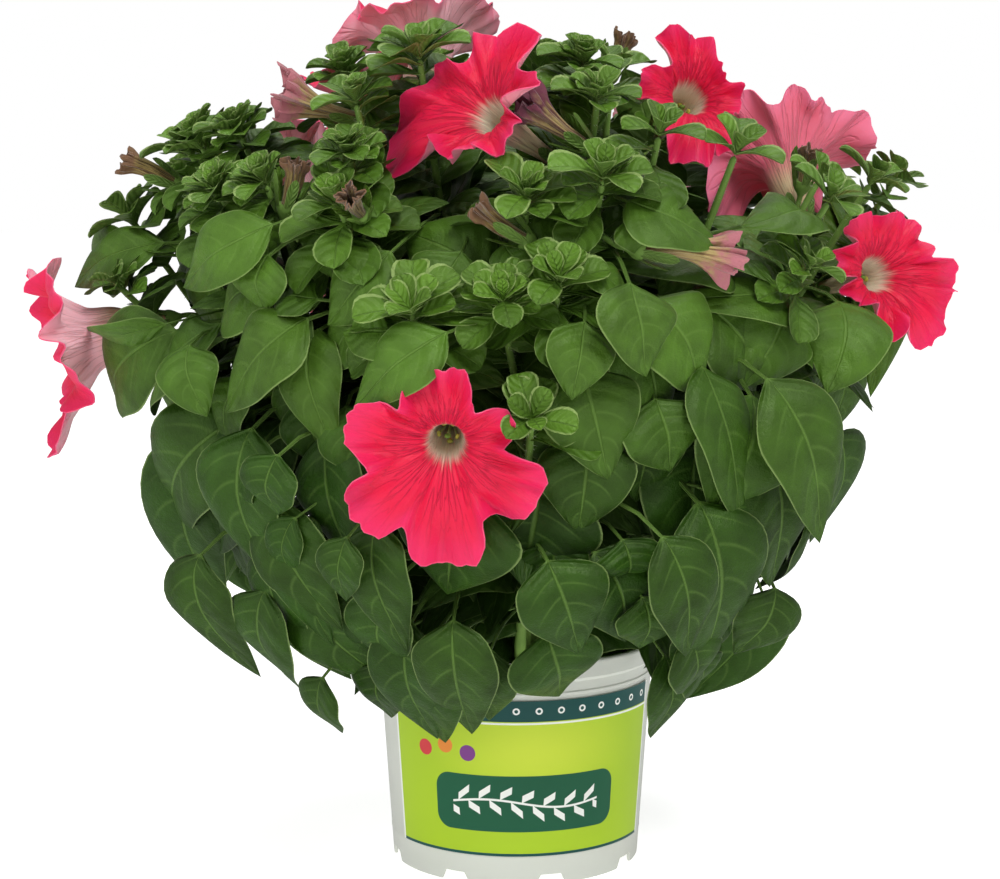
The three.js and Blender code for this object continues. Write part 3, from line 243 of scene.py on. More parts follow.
# Lobes of the shown limbs, by bloom: turn of the middle from straight down, half width in degrees, reach,
# reach of the notch that follows, lift of the edge.
LIMB_LOBES = {
    0: ((0, 25, 44, 32, 0), (50, 20, 42, 27, 0), (105, 20, 36, 23, 1), (175, 30, 30, 18, 0),
        (245, 15, 28, 22, 2), (300, 25, 38, 28, 0)),
    1: ((0, 25, 42, 29, 14), (72, 25, 38, 27, 2), (144, 25, 37, 26, 2), (216, 25, 40, 25, -11),
        (288, 25, 41, 28, -10)),
    3: ((15, 20, 22, 20, 2), (70, 25, 48, 30, -5), (115, 15, 36, 20, 0), (175, 25, 30, 26, 1),
        (215, 15, 35, 23, 4), (250, 10, 30, 16, 2), (300, 20, 27, 18, 0)),
    4: ((15, 25, 32, 18, 0), (95, 25, 24, 14, 1), (160, 15, 27, 21, 3), (190, 15, 25, 13, 0),
        (290, 25, 19, 17, 2), (335, 20, 27, 23, 0)),
    6: ((10, 15, 28, 17, 0), (65, 15, 23, 18, 0), (100, 15, 27, 21, 0), (150, 25, 25, 22, 0),
        (225, 35, 26, 20, 0), (275, 15, 36, 28, 2), (320, 25, 35, 20, 0)),
}
NOTCH_LIFT = 4.0

# Blooms whose tube opens sooner and wider than the others'.
BLOOM_FLARES = {1: 1.8, 2: 1.5, 5: 1.5}

# Blooms whose petals' backs are flushed with the colour of the face, and how far.
BLOOM_FLUSHES = {3: 0.35, 4: 0.3, 5: 0.75, 7: 0.5}

# Ways a large leaf may bend clear: turn, layer, reach, roll. And a young one: turn, open, size.
LEAF_BENDS = (
    (0, 0, 1, 0), (0, 0.05, 1, 0), (0, -0.05, 1, 0), (3, 0, 1, 12), (-3, 0, 1, -12), (0, 0.1, 1, 0),
    (0, -0.1, 1, 0), (5, 0.06, 0.95, 20), (-5, 0.06, 0.95, -20), (0, -0.16, 0.95, 0), (0, 0, 0.75, 0),
    (4, -0.08, 0.75, 10), (-4, -0.08, 0.75, -10),
)
ROSETTE_BENDS = ((0, 0, 1), (6, -6, 1), (-6, -6, 1), (0, -16, 0.9), (6, -26, 0.75), (-6, 10, 0.7))

# Large leaves of the scene are wider than their solids: by the least and by the most, as shares of the
# solid's width, and between them the leaf's shown length over its width.
LEAST_WIDENING, MOST_WIDENING = 1.06, 1.22
LENGTH_TO_WIDTH = 1.8

# Leaves at the sides roll their faces towards the viewer: the azimuths where that starts, is full and ends,
# the least roll, and what a draw adds.
ROLL_FROM, ROLL_FULL, ROLL_TO = 34, 62, 125
ROLL_LEAST, ROLL_DRAW = 26, 24

# Leaves of the far side's rows that show at the outline are drawn in towards the pot's axis: azimuths, the
# height up to which they are drawn in most, the heights over which that lessens, and the two shares.
DRAWN_IN_FROM, DRAWN_IN_TO = 60, 114
DRAWN_IN_LOW, DRAWN_IN_HEIGHTS = 110, 130
DRAWN_IN_SHARE, DRAWN_IN_LESS = 0.76, 0.1

# A leaf is older the lower it sits: the height where age 0 would be, the fall to age 1, the least age.
AGE_TOP, AGE_FALL, AGE_LEAST = 300, 110, 0.58

# Whorls of small leaves round a tip: count, angle from the axis, length as a share of the rosette's, height
# of the roots above the tip, age, half width as a share of the length.
WHORLS = (
    (5, 36, 0.52, 3.2, 0.12, 0.31),
    (4, 20, 0.4, 4.2, 0.06, 0.29),
    (3, 9, 0.27, 4.8, 0.0, 0.27),
    (6, 56, 0.62, 1.6, 0.2, 0.33),
    (7, 74, 0.8, -1.0, 0.32, 0.33),
    (6, 92, 0.98, -4.6, 0.44, 0.32),
    (5, 103, 1.2, -10.5, 0.55, 0.32),
)

# ---- Vectors -----------------------------------------------------------------------------------------


def unit(a: np.ndarray) -> np.ndarray:
    """The vector, or each of an array of vectors, at length one."""
    return a / np.maximum(np.linalg.norm(a, axis=-1, keepdims=True), 1e-12)


def square_to(a: np.ndarray, direction: np.ndarray) -> np.ndarray:
    """The part of a that is square to the unit direction, at length one."""
    return unit(a - direction * np.sum(a * direction, axis=-1, keepdims=True))


def radial(azimuth: float) -> np.ndarray:
    """The level direction at an azimuth."""
    return np.array([math.sin(math.radians(azimuth)), -math.cos(math.radians(azimuth)), 0.0])


def chance(a: float, b: float, c: float) -> float:
    """A fixed draw between 0 and 1 for three numbers."""
    value = math.sin(a * 12.9898 + b * 78.233 + c * 37.719) * 43758.5453
    return value - math.floor(value)


def cubic(points: Sequence[np.ndarray], t: float | np.ndarray) -> np.ndarray:
    """Points of a cubic curve.

    Args:
        points: The curve's four control points.
        t: One place, or an array of places, from 0 to 1.

    Returns:
        The point, or one row for each place.
    """
    t = np.asarray(t, float)[..., None]
    a, b, c, d = points
    return a * (1 - t) ** 3 + b * 3 * t * (1 - t) ** 2 + c * 3 * t**2 * (1 - t) + d * t**3


def flowing(x: np.ndarray, knots: Sequence[float], values: np.ndarray) -> np.ndarray:
    """A smooth line through known values.

    Args:
        x: Places to read.
        knots: Places of the known values, in rising order.
        values: The known values, one row for each knot.

    Returns:
        One value, or row of values, for each place in x.
    """
    knots = np.asarray(knots, float)
    values = np.asarray(values, float)
    tail = (1,) * (values.ndim - 1)
    steps = np.diff(knots).reshape(-1, *tail)
    secants = np.diff(values, axis=0) / steps
    slopes = np.empty_like(values)
    slopes[0], slopes[-1] = secants[0], secants[-1]
    slopes[1:-1] = (values[2:] - values[:-2]) / (steps[1:] + steps[:-1])
    i = np.clip(np.searchsorted(knots, x, side="right") - 1, 0, len(knots) - 2)
    step = steps[i]
    t = (np.asarray(x, float) - knots[i]).reshape(-1, *tail) / step
    return (
        values[i] * (1 + 2 * t) * (1 - t) ** 2
        + slopes[i] * step * t * (1 - t) ** 2
        + values[i + 1] * t**2 * (3 - 2 * t)
        + slopes[i + 1] * step * t**2 * (t - 1)
    )


def eased(x: np.ndarray | float, low: float, high: float) -> np.ndarray:
    """Zero below low, one above high and a smooth rise between them."""
    t = np.clip((np.asarray(x, float) - low) / (high - low), 0, 1)
    return t * t * (3 - 2 * t)


def crown_point(azimuth: float, height: float, layer: float) -> np.ndarray:
    """A point on the crown's rounded surface, or on a layer inside or outside it."""
    upper = bool(height > CROWN_MIDDLE)
    t = min(1.0, abs(height - CROWN_MIDDLE) / (CROWN_RISE if upper else CROWN_DROP))
    power = CROWN_POWERS[upper]
    radius = layer * CROWN_RADIUS * (1 - t**power) ** (1 / power)
    return radial(azimuth) * radius + UP * height


def crown_layer(point: np.ndarray) -> float:
    """The layer that a point lies on: 1 is the crown's surface."""
    upper = bool(point[2] > CROWN_MIDDLE)
    rise = abs(point[2] - CROWN_MIDDLE) / (CROWN_RISE if upper else CROWN_DROP)
    power = CROWN_POWERS[upper]
    return float(((math.hypot(point[0], point[1]) / CROWN_RADIUS) ** power + rise**power) ** (1 / power))


def outlook(azimuth: float, height: float) -> np.ndarray:
    """The way that leaves look: outwards on the sides, upwards on top."""
    share = min(max((height - CROWN_MIDDLE) / CROWN_RISE, 0.0), 1.0)
    low, more = LOOK_RISE
    rise = math.radians(low + more * share)
    return radial(azimuth) * math.cos(rise) + UP * math.sin(rise)


def put(name: str, data: bpy.types.ID) -> bpy.types.Object:
    """A new object in the scene, at the origin."""
    made = bpy.data.objects.new(name, data)
    bpy.context.scene.collection.objects.link(made)
    return made


# ---- Skins -------------------------------------------------------------------------------------------


@dataclass(frozen=True)
class Weave:
    """The faces over a stack of closed rings with a pole at each end."""

    corners: np.ndarray  # point of each face corner
    starts: np.ndarray  # first corner of each face
    levels: np.ndarray  # level of each corner: 0 the first pole, then the rings
    near: np.ndarray  # columns that a corner's place round the ring is the mean of
    far: np.ndarray
    bands: np.ndarray  # band and column of each face
    columns: np.ndarray


@lru_cache(maxsize=None)
def weave(rings: int, columns: int) -> Weave:
    """Faces of a skin.

    Args:
        rings: Count of rings.
        columns: Count of points in a ring.

    Returns:
        The faces, with the first fan first and the last fan last.
    """
    c = np.arange(columns)
    after = (c + 1) % columns
    first_pole, last_pole = rings * columns, rings * columns + 1
    full = np.full(columns, 0)
    corners = [np.stack([full + first_pole, after, c], 1).ravel()]
    levels = [np.stack([full, full + 1, full + 1], 1).ravel()]
    near = [np.stack([c, c + 1, c], 1).ravel()]
    far = [np.stack([c + 1, c + 1, c], 1).ravel()]
    for r in range(rings - 1):
        low, high = r * columns, (r + 1) * columns
        corners.append(np.stack([low + c, low + after, high + after, high + c], 1).ravel())
        levels.append(np.stack([full + r + 1, full + r + 1, full + r + 2, full + r + 2], 1).ravel())
        near.append(np.stack([c, c + 1, c + 1, c], 1).ravel())
        far.append(near[-1])
    top = (rings - 1) * columns
    corners.append(np.stack([top + c, top + after, full + last_pole], 1).ravel())
    levels.append(np.stack([full + rings, full + rings, full + rings + 1], 1).ravel())
    near.append(np.stack([c, c + 1, c], 1).ravel())
    far.append(np.stack([c, c + 1, c + 1], 1).ravel())
    counts = np.concatenate([np.full(columns, 3), np.full((rings - 1) * columns, 4), np.full(columns, 3)])
    return Weave(
        np.concatenate(corners),
        np.concatenate([[0], np.cumsum(counts)[:-1]]),
        np.concatenate(levels),
        np.concatenate(near),
        np.concatenate(far),
        np.repeat(np.arange(rings + 1), columns),
        np.tile(c, rings + 1),
    )


@dataclass
class Skins:
    """Closed skins over rings of points, gathered into one mesh."""

    points: list[np.ndarray] = field(default_factory=list)
    corners: list[np.ndarray] = field(default_factory=list)
    starts: list[np.ndarray] = field(default_factory=list)
    finishes: list[np.ndarray] = field(default_factory=list)
    maps: list[np.ndarray] = field(default_factory=list)
    marks: list[np.ndarray] = field(default_factory=list)
    point_count: int = 0
    corner_count: int = 0

    def add(
        self,
        rings: np.ndarray,
        poles: tuple[np.ndarray, np.ndarray],
        round_map: np.ndarray | None = None,
        level_map: np.ndarray | None = None,
        finish: int | np.ndarray = 0,
        tint: float = 0.5,
        age: float = 0.5,
    ) -> None:
        """Adds a skin. Its faces are turned to point outwards.

        Args:
            rings: Points as [ring, column, axis].
            poles: The point that closes each end.
            round_map: U of each column and of the seam's end, or None for an even spread.
            level_map: V of the first pole, each ring and the last pole, or None for an even spread.
            finish: Material index, for all faces or as [band, column].
            tint: Mark that materials read: a draw for this skin.
            age: Mark that materials read: 0 young, 1 old.
        """
        count, columns = rings.shape[:2]
        faces = weave(count, columns)
        points = np.concatenate([rings.reshape(-1, 3), np.stack(poles)])
        u = np.linspace(0, 1, columns + 1) if round_map is None else np.asarray(round_map, float)
        v = np.linspace(0, 1, count + 2) if level_map is None else np.asarray(level_map, float)
        flat = np.stack([(u[faces.near] + u[faces.far]) / 2, v[faces.levels]], 1)
        corners, starts = faces.corners, faces.starts
        if self._volume(points, corners, starts) < 0:
            ends = np.append(starts[1:], len(corners))
            order = np.repeat(starts + ends - 1, ends - starts) - np.arange(len(corners))
            corners, flat = corners[order], flat[order]
        material = np.broadcast_to(np.asarray(finish), (count + 1, columns))[faces.bands, faces.columns]
        self.points.append(points)
        self.corners.append(corners + self.point_count)
        self.starts.append(starts + self.corner_count)
        self.finishes.append(material)
        self.maps.append(flat)
        self.marks.append(np.tile([tint, age], (len(points), 1)))
        self.point_count += len(points)
        self.corner_count += len(corners)

    @staticmethod
    def _volume(points: np.ndarray, corners: np.ndarray, starts: np.ndarray) -> float:
        """The signed volume that the faces enclose."""
        shifted = points - points.mean(0)
        ends = np.append(starts[1:], len(corners))
        a, b, c = (shifted[corners[starts + k]] for k in range(3))
        total = np.sum(a * np.cross(b, c))
        four = ends - starts == 4
        a, b, c = (shifted[corners[starts[four] + k]] for k in (0, 2, 3))
        return float(total + np.sum(a * np.cross(b, c)))

    def piece(
        self, name: str, materials: Sequence[bpy.types.Material], sharp: float = 60
    ) -> bpy.types.Object:
        """One object of everything that was added.

        Args:
            name: Name of the piece.
            materials: Materials in the order of their index.
            sharp: Angle from which an edge is shaded sharp.

        Returns:
            The object, at the origin, with its place in its mesh.
        """
        mesh = bpy.data.meshes.new(name)
        corners = np.concatenate(self.corners)
        starts = np.concatenate(self.starts)
        mesh.vertices.add(self.point_count)
        mesh.vertices.foreach_set("co", (np.concatenate(self.points) * METRES).astype(np.float32).ravel())
        mesh.loops.add(len(corners))
        mesh.loops.foreach_set("vertex_index", corners.astype(np.int32))
        mesh.polygons.add(len(starts))
        mesh.polygons.foreach_set("loop_start", starts.astype(np.int32))
        mesh.polygons.foreach_set("material_index", np.concatenate(self.finishes).astype(np.int32))
        mesh.polygons.foreach_set("use_smooth", np.ones(len(starts), bool))
        mesh.update(calc_edges=True)
        layer = mesh.uv_layers.new(name="UVMap")
        layer.uv.foreach_set("vector", np.concatenate(self.maps).astype(np.float32).ravel())
        marks = np.concatenate(self.marks).astype(np.float32)
        for column, mark in enumerate(("tint", "age")):
            mesh.attributes.new(mark, "FLOAT", "POINT").data.foreach_set("value", marks[:, column].copy())
        for material in materials:
            mesh.materials.append(material)
        mesh.set_sharp_from_angle(angle=math.radians(sharp))
        return put(name, mesh)


def frames_along(points: np.ndarray, lead: np.ndarray) -> tuple[np.ndarray, np.ndarray]:
    """Directions square to a line of points that turn as little as they can.

    Args:
        points: The line's points.
        lead: The wanted first direction.

    Returns:
        Two unit directions at each point, square to the line and to each other.
    """
    tangents = unit(np.gradient(points, axis=0))
    across = np.empty_like(points)
    for i, tangent in enumerate(tangents):
        lead = square_to(lead, tangent)
        across[i] = lead
    return across, np.cross(tangents, across)


def tube_rings(points: np.ndarray, radii: np.ndarray | float, sides: int, lead: np.ndarray) -> np.ndarray:
    """Rings of a tube along a line.

    Args:
        points: The line's points.
        radii: One radius, or one for each point.
        sides: Count of points in a ring.
        lead: Direction of the rings' first point.

    Returns:
        Points as [ring, column, axis].
    """
    across, square = frames_along(points, lead)
    turn = np.linspace(0, 2 * math.pi, sides, endpoint=False)
    reach = np.broadcast_to(np.asarray(radii, float), (len(points),))[:, None, None]
    circle = across[:, None] * np.cos(turn)[None, :, None] + square[:, None] * np.sin(turn)[None, :, None]
    return points[:, None] + circle * reach


def sheet_rings(sheet: np.ndarray, thickness: np.ndarray | float) -> np.ndarray:
    """Gives a closed-round sheet its thickness.

    Args:
        sheet: Middle surface as [row, column, axis], whose columns close on themselves.
        thickness: Thickness, one for the sheet or one for each row.

    Returns:
        Rings out along one side of the sheet and back along the other.
    """
    along = np.gradient(sheet, axis=0)
    around = np.roll(sheet, -1, axis=1) - np.roll(sheet, 1, axis=1)
    normal = unit(np.cross(along, around))
    half = np.broadcast_to(np.asarray(thickness, float), (len(sheet),))[:, None, None] / 2
    return np.concatenate([sheet - normal * half, (sheet + normal * half)[::-1]])


# ---- Blades ------------------------------------------------------------------------------------------


@dataclass(frozen=True)
class BladeForm:
    """A kind of leaf: its outline, its fold and its waves, as shares of its half width."""

    outline: tuple[tuple[float, float], ...]  # place on the blade, share of the half width
    rows: int
    columns: int
    fold: float
    wave: float
    waves: float
    thickness: float
    stalk: float  # thickness of its stalk
    crowd: float = 1.0  # above 1, rows crowd towards the tip
    arch: float = 0.0  # how far the middle bulges

    @property
    def places(self) -> np.ndarray:
        """Places of the rows on the blade, from its base to just before its tip."""
        even = np.linspace(0, 1, self.rows + 1)[:-1]
        return 1 - (1 - even) ** self.crowd

    def share(self, place: np.ndarray) -> np.ndarray:
        """Share of the half width at each place on the blade."""
        knots, values = zip(*self.outline)
        return np.maximum(flowing(place, knots, np.array(values)), 0.02)


OVATE = BladeForm(
    outline=((0, 0.04), (0.04, 0.24), (0.1, 0.52), (0.2, 0.81), (0.31, 0.96), (0.42, 1.0), (0.55, 0.94),
             (0.68, 0.77), (0.8, 0.54), (0.9, 0.3), (0.96, 0.13), (1, 0)),
    rows=18, columns=13, fold=0.42, wave=0.05, waves=1.7, thickness=0.5, stalk=1.5, crowd=1.2, arch=0.46,
)
OBOVATE = BladeForm(
    outline=((0, 0.2), (0.2, 0.34), (0.42, 0.74), (0.6, 0.97), (0.76, 1.0), (0.88, 0.84), (0.95, 0.56),
             (1, 0)),
    rows=9, columns=9, fold=0.42, wave=0.05, waves=1.4, thickness=0.6, stalk=1.3, crowd=1.5, arch=-0.02,
)
INNER_LEAF = BladeForm(
    outline=((0, 0.06), (0.07, 0.4), (0.2, 0.84), (0.38, 1.0), (0.62, 0.84), (0.85, 0.42), (1, 0)),
    rows=9, columns=9, fold=0.36, wave=0.06, waves=1.5, thickness=0.5, stalk=1.2, crowd=1.2, arch=0.4,
)
SEPAL = BladeForm(
    outline=((0, 0.75), (0.3, 0.85), (0.62, 1.0), (0.84, 0.8), (0.95, 0.45), (1, 0)),
    rows=8, columns=5, fold=-0.25, wave=0.06, waves=1.2, thickness=0.6, stalk=0.9, crowd=1.3,
)

# Places on a blade that are tested for room, and the rings of its bare stalk.
PROBE_PLACES = np.array([0.25, 0.45, 0.65, 0.85])
STALK_RINGS = 4


@dataclass
class Blade:
    """One leaf: its arched spine and the way that its upper side looks."""

    form: BladeForm
    spine: tuple[np.ndarray, np.ndarray, np.ndarray]
    look: np.ndarray
    half_width: float
    roll: float = 0.0
    age: float = 0.5
    tint: float = 0.5
    droop: float = 0.0
    bare: float = 0.0  # share of the spine that is a bare leaf stalk

    def at(self, t: float | np.ndarray) -> np.ndarray:
        """Points of the spine."""
        t = np.asarray(t, float)[..., None]
        start, control, end = self.spine
        return start * (1 - t) ** 2 + control * 2 * t * (1 - t) + end * t**2

    def _frame(self, t: np.ndarray) -> tuple[np.ndarray, np.ndarray]:
        """Sideways and facing directions at places of the spine."""
        start, control, end = self.spine
        t = np.asarray(t, float)[:, None]
        tangent = unit((control - start) * (1 - t) + (end - control) * t)
        face = square_to(np.broadcast_to(self.look, tangent.shape), tangent)
        side = np.cross(tangent, face)
        turn = math.radians(self.roll)
        return side * math.cos(turn) + face * math.sin(turn), face * math.cos(turn) - side * math.sin(turn)

    def probes(self) -> np.ndarray:
        """A few points all over the blade, to test whether it has room."""
        t = self.bare + (1 - self.bare) * PROBE_PLACES
        middle = self.at(t)
        side = self._frame(t)[0] * (self.half_width * self.form.share(PROBE_PLACES))[:, None]
        return np.concatenate([middle, middle + side, middle - side, [self.spine[2]]])

    def add_to(self, skins: Skins) -> None:
        """Adds the leaf's skin: upper side with material 0, underside with material 1."""
        form = self.form
        place = form.places
        t = self.bare + (1 - self.bare) * place
        share = form.share(place)
        if self.bare > 0:
            stalk = np.linspace(0, self.bare, STALK_RINGS + 1)[:-1]
            t = np.concatenate([stalk, t])
            place = np.concatenate([0 * stalk, place])
            share = np.concatenate([0 * stalk + 0.05, share])
        side, face = self._frame(t)
        points = self.at(t) - face * (self.droop * eased(place, 0.45, 1.0)[:, None])
        across = np.linspace(-1, 1, form.columns)
        reach = self.half_width * share[:, None]
        uneven = 1 + 0.025 * np.sin(13 * place + 40 * self.tint)[:, None] * np.sign(across)[None, :]
        phase = 2 * math.pi * (form.waves * place[:, None] + self.tint * 7 + 0.37 * (across > 0)[None, :])
        lift = form.fold * np.abs(across)[None, :] ** 1.3 + form.wave * np.sin(phase) * across[None, :] ** 2
        lift = lift - form.arch * np.abs(across)[None, :] ** 2.4
        lift = lift * eased(place, 0.0, 0.25)[:, None]
        middle = (
            points[:, None]
            + side[:, None] * (reach * across[None, :] * uneven)[..., None]
            + face[:, None] * (reach * lift)[..., None]
        )
        stem_share = 1 - eased(place, 0.0, 0.3)
        lens = np.sqrt(np.maximum(1 - across**2, 0))[None, :]
        half = (form.thickness + (form.stalk - form.thickness) * stem_share)[:, None] * lens / 2
        upper = middle + face[:, None] * half[..., None]
        lower = middle - face[:, None] * half[..., None]
        rings = np.concatenate([upper, lower[:, -2:0:-1]], axis=1)
        u = np.concatenate([(across + 1) / 2, (across[-2:0:-1] + 1) / 2, [0]])
        finish = np.where(np.arange(rings.shape[1]) < form.columns - 1, 0, 1)
        tip = self.spine[2] - face[-1] * self.droop
        v = np.concatenate([[0], place, [1]])
        skins.add(rings, (self.spine[0], tip), u, v, finish, self.tint, self.age)


# ---- The plan ----------------------------------------------------------------------------------------


@dataclass(frozen=True)
class Tip:
    """The end of a branch, where a rosette sits."""

    point: np.ndarray
    axis: np.ndarray
    leaf_count: int
    leaf_length: float

    @property
    def lead(self) -> np.ndarray:
        """The direction from which the rosette's turns are counted."""
        return square_to(UP, self.axis)

    def out(self, turn: float) -> np.ndarray:
        """The direction away from the axis at a turn in degrees."""
        angle = math.radians(turn)
        return self.lead * math.cos(angle) + np.cross(self.axis, self.lead) * math.sin(angle)


@dataclass
class StemPlan:
    """A stem with its forks: their curves, and the places where leaves and stalks already sit."""

    index: int
    out: np.ndarray
    foot: np.ndarray
    tips: list[Tip]
    branches: list[list[np.ndarray]]
    seats: np.ndarray
    taken: list[np.ndarray] = field(default_factory=list)

    @property
    def name(self) -> str:
        """Name of the stem's solid."""
        return f"stem_{self.index + 1:02d}"

    def nearest_seat(self, target: np.ndarray) -> tuple[float, np.ndarray] | None:
        """The free place on the stem that is nearest to a target.

        Args:
            target: The point to come near to.

        Returns:
            The distance and the place, or None where every place is taken.
        """
        distances = np.linalg.norm(self.seats - target, axis=1)
        for other in self.taken:
            free = np.linalg.norm(self.seats - other, axis=1) > SEAT_SPACING
            distances = np.where(free, distances, np.inf)
        best = int(np.argmin(distances))
        return None if math.isinf(distances[best]) else (float(distances[best]), self.seats[best])


@dataclass(frozen=True)
class BloomAxes:
    """Directions of a bloom: forwards, and in its plane down and to the right of down."""

    forward: np.ndarray
    down: np.ndarray
    right: np.ndarray

    @classmethod
    def facing(cls, face: Sequence[float]) -> "BloomAxes":
        """The axes of a bloom that faces a direction."""
        forward = unit(np.asarray(face, float))
        back_lean = -1.0 if abs(forward[2]) > 0.8 else 0.0
        down = square_to(np.array([0.0, back_lean, -1.0]), forward)
        return cls(forward, down, np.cross(down, forward))

    def ring(
        self, seat: np.ndarray, forward: np.ndarray, radius: np.ndarray, turns: np.ndarray
    ) -> np.ndarray:
        """Points round the axis.

        Args:
            seat: The point where the axis starts.
            forward: Distance along the axis, for each point.
            radius: Distance from the axis, for each point.
            turns: Turn from straight down in radians, for each point.

        Returns:
            The points, in the shape of the three arrays with a last axis of 3.
        """
        return (
            seat
            + self.forward * forward[..., None]
            + self.down * (radius * np.cos(turns))[..., None]
            + self.right * (radius * np.sin(turns))[..., None]
        )


@dataclass(frozen=True)
class Stalk:
    """A flower stalk from its stem to the seat of its bloom."""

    start: np.ndarray
    seat: np.ndarray
    axes: BloomAxes

    @property
    def curve(self) -> list[np.ndarray]:
        """The stalk's curve, from the stem to the foot of the calyx."""
        foot = self.seat - self.axes.forward * CALYX_DEPTH
        distance = float(np.linalg.norm(foot - self.start))
        rising = self.start + UP * 0.3 * distance
        return [self.start, rising, foot - self.axes.forward * 0.4 * distance, foot]

    def middle_ring(self) -> np.ndarray:
        """The five points that the solid stalk has at its middle."""
        curve = self.curve
        tangent = unit(cubic(curve, 0.6) - cubic(curve, 0.4))
        side = square_to(self.axes.right, tangent)
        turns = np.arange(5) * 2 * math.pi / 5
        lead = np.cross(tangent, side)
        return cubic(curve, 0.5) + 1.2 * (np.cos(turns)[:, None] * lead + np.sin(turns)[:, None] * side)


@dataclass
class BloomRoom:
    """The room that blooms keep for themselves, and the view of those that the viewer sees."""

    points: np.ndarray  # points on the shown blooms
    rooms: list[tuple[np.ndarray, np.ndarray, float, float]]  # seat, direction, tube length, limb radius

    @classmethod
    def of_plan(cls) -> "BloomRoom":
        """The room of all planned blooms."""
        points, rooms = [], []
        turns = np.radians(np.arange(0, 360, 15))
        for index, (throat, face, radius, tube, _) in enumerate(BLOOM_PLANS):
            axes = BloomAxes.facing(face)
            seat = np.array(throat, float) - axes.forward * tube
            rooms.append((seat, axes.forward, tube, radius))
            if index in SHOWN_BLOOMS:
                funnel = ((0.2, 4), (0.5, 6), (0.9, 9))
                limb = ((1.1, 0.35 * radius), (1.15, 0.65 * radius), (1.15, 0.95 * radius))
                for ahead, wide in (*funnel, *limb):
                    points.append(axes.ring(seat, np.array(tube * ahead), np.full_like(turns, wide), turns))
        for seat, mouth, radius in WITHERED_PLANS:
            line = np.subtract(mouth, seat)
            length = float(np.linalg.norm(line))
            axes = BloomAxes.facing(line)
            calyx = np.array(seat, float)
            rooms.append((calyx, axes.forward, length * 0.7, radius * 1.3))
            for ahead in (0.1, 0.4, 0.7, 1.0):
                wide = np.full_like(turns, 3 + (radius - 3) * ahead)
                points.append(axes.ring(calyx, np.array(length * ahead), wide, turns))
        return cls(np.concatenate(points), rooms)

    @staticmethod
    def _seen(points: np.ndarray) -> tuple[np.ndarray, np.ndarray]:
        """Points as the viewer sees them: place in the view, and distance."""
        offset = points - VIEWER
        return offset[:, [0, 2]] / offset[:, 1:2], offset[:, 1]

    def blocked(self, probes: np.ndarray, sight: float = 3.5) -> bool:
        """Whether any of the probes is inside a bloom's room or hides a shown bloom.

        Args:
            probes: Points of a leaf.
            sight: Distance at which a point hides another one, as seen.

        Returns:
            Whether the leaf is in the way.
        """
        for seat, forward, tube, radius in self.rooms:
            offset = probes - seat
            along = offset @ forward
            across = np.linalg.norm(offset - along[:, None] * forward, axis=1)
            room = np.interp(along, (-5, 0, 0.6 * tube, tube, tube + 3, tube + 12, tube + 30),
                             (0, 3.5, 5.5, 11, radius, 0.9 * radius, 0.4 * radius))
            if np.any((along > -5) & (along < tube + 30) & (across < room)):
                return True
        own, own_depth = self._seen(probes)
        other, other_depth = self._seen(self.points)
        apart = np.linalg.norm(own[:, None] - other[None, :], axis=2) * other_depth[None, :]
        return bool(np.any((apart < sight) & (own_depth[:, None] < other_depth[None, :] - 2)))


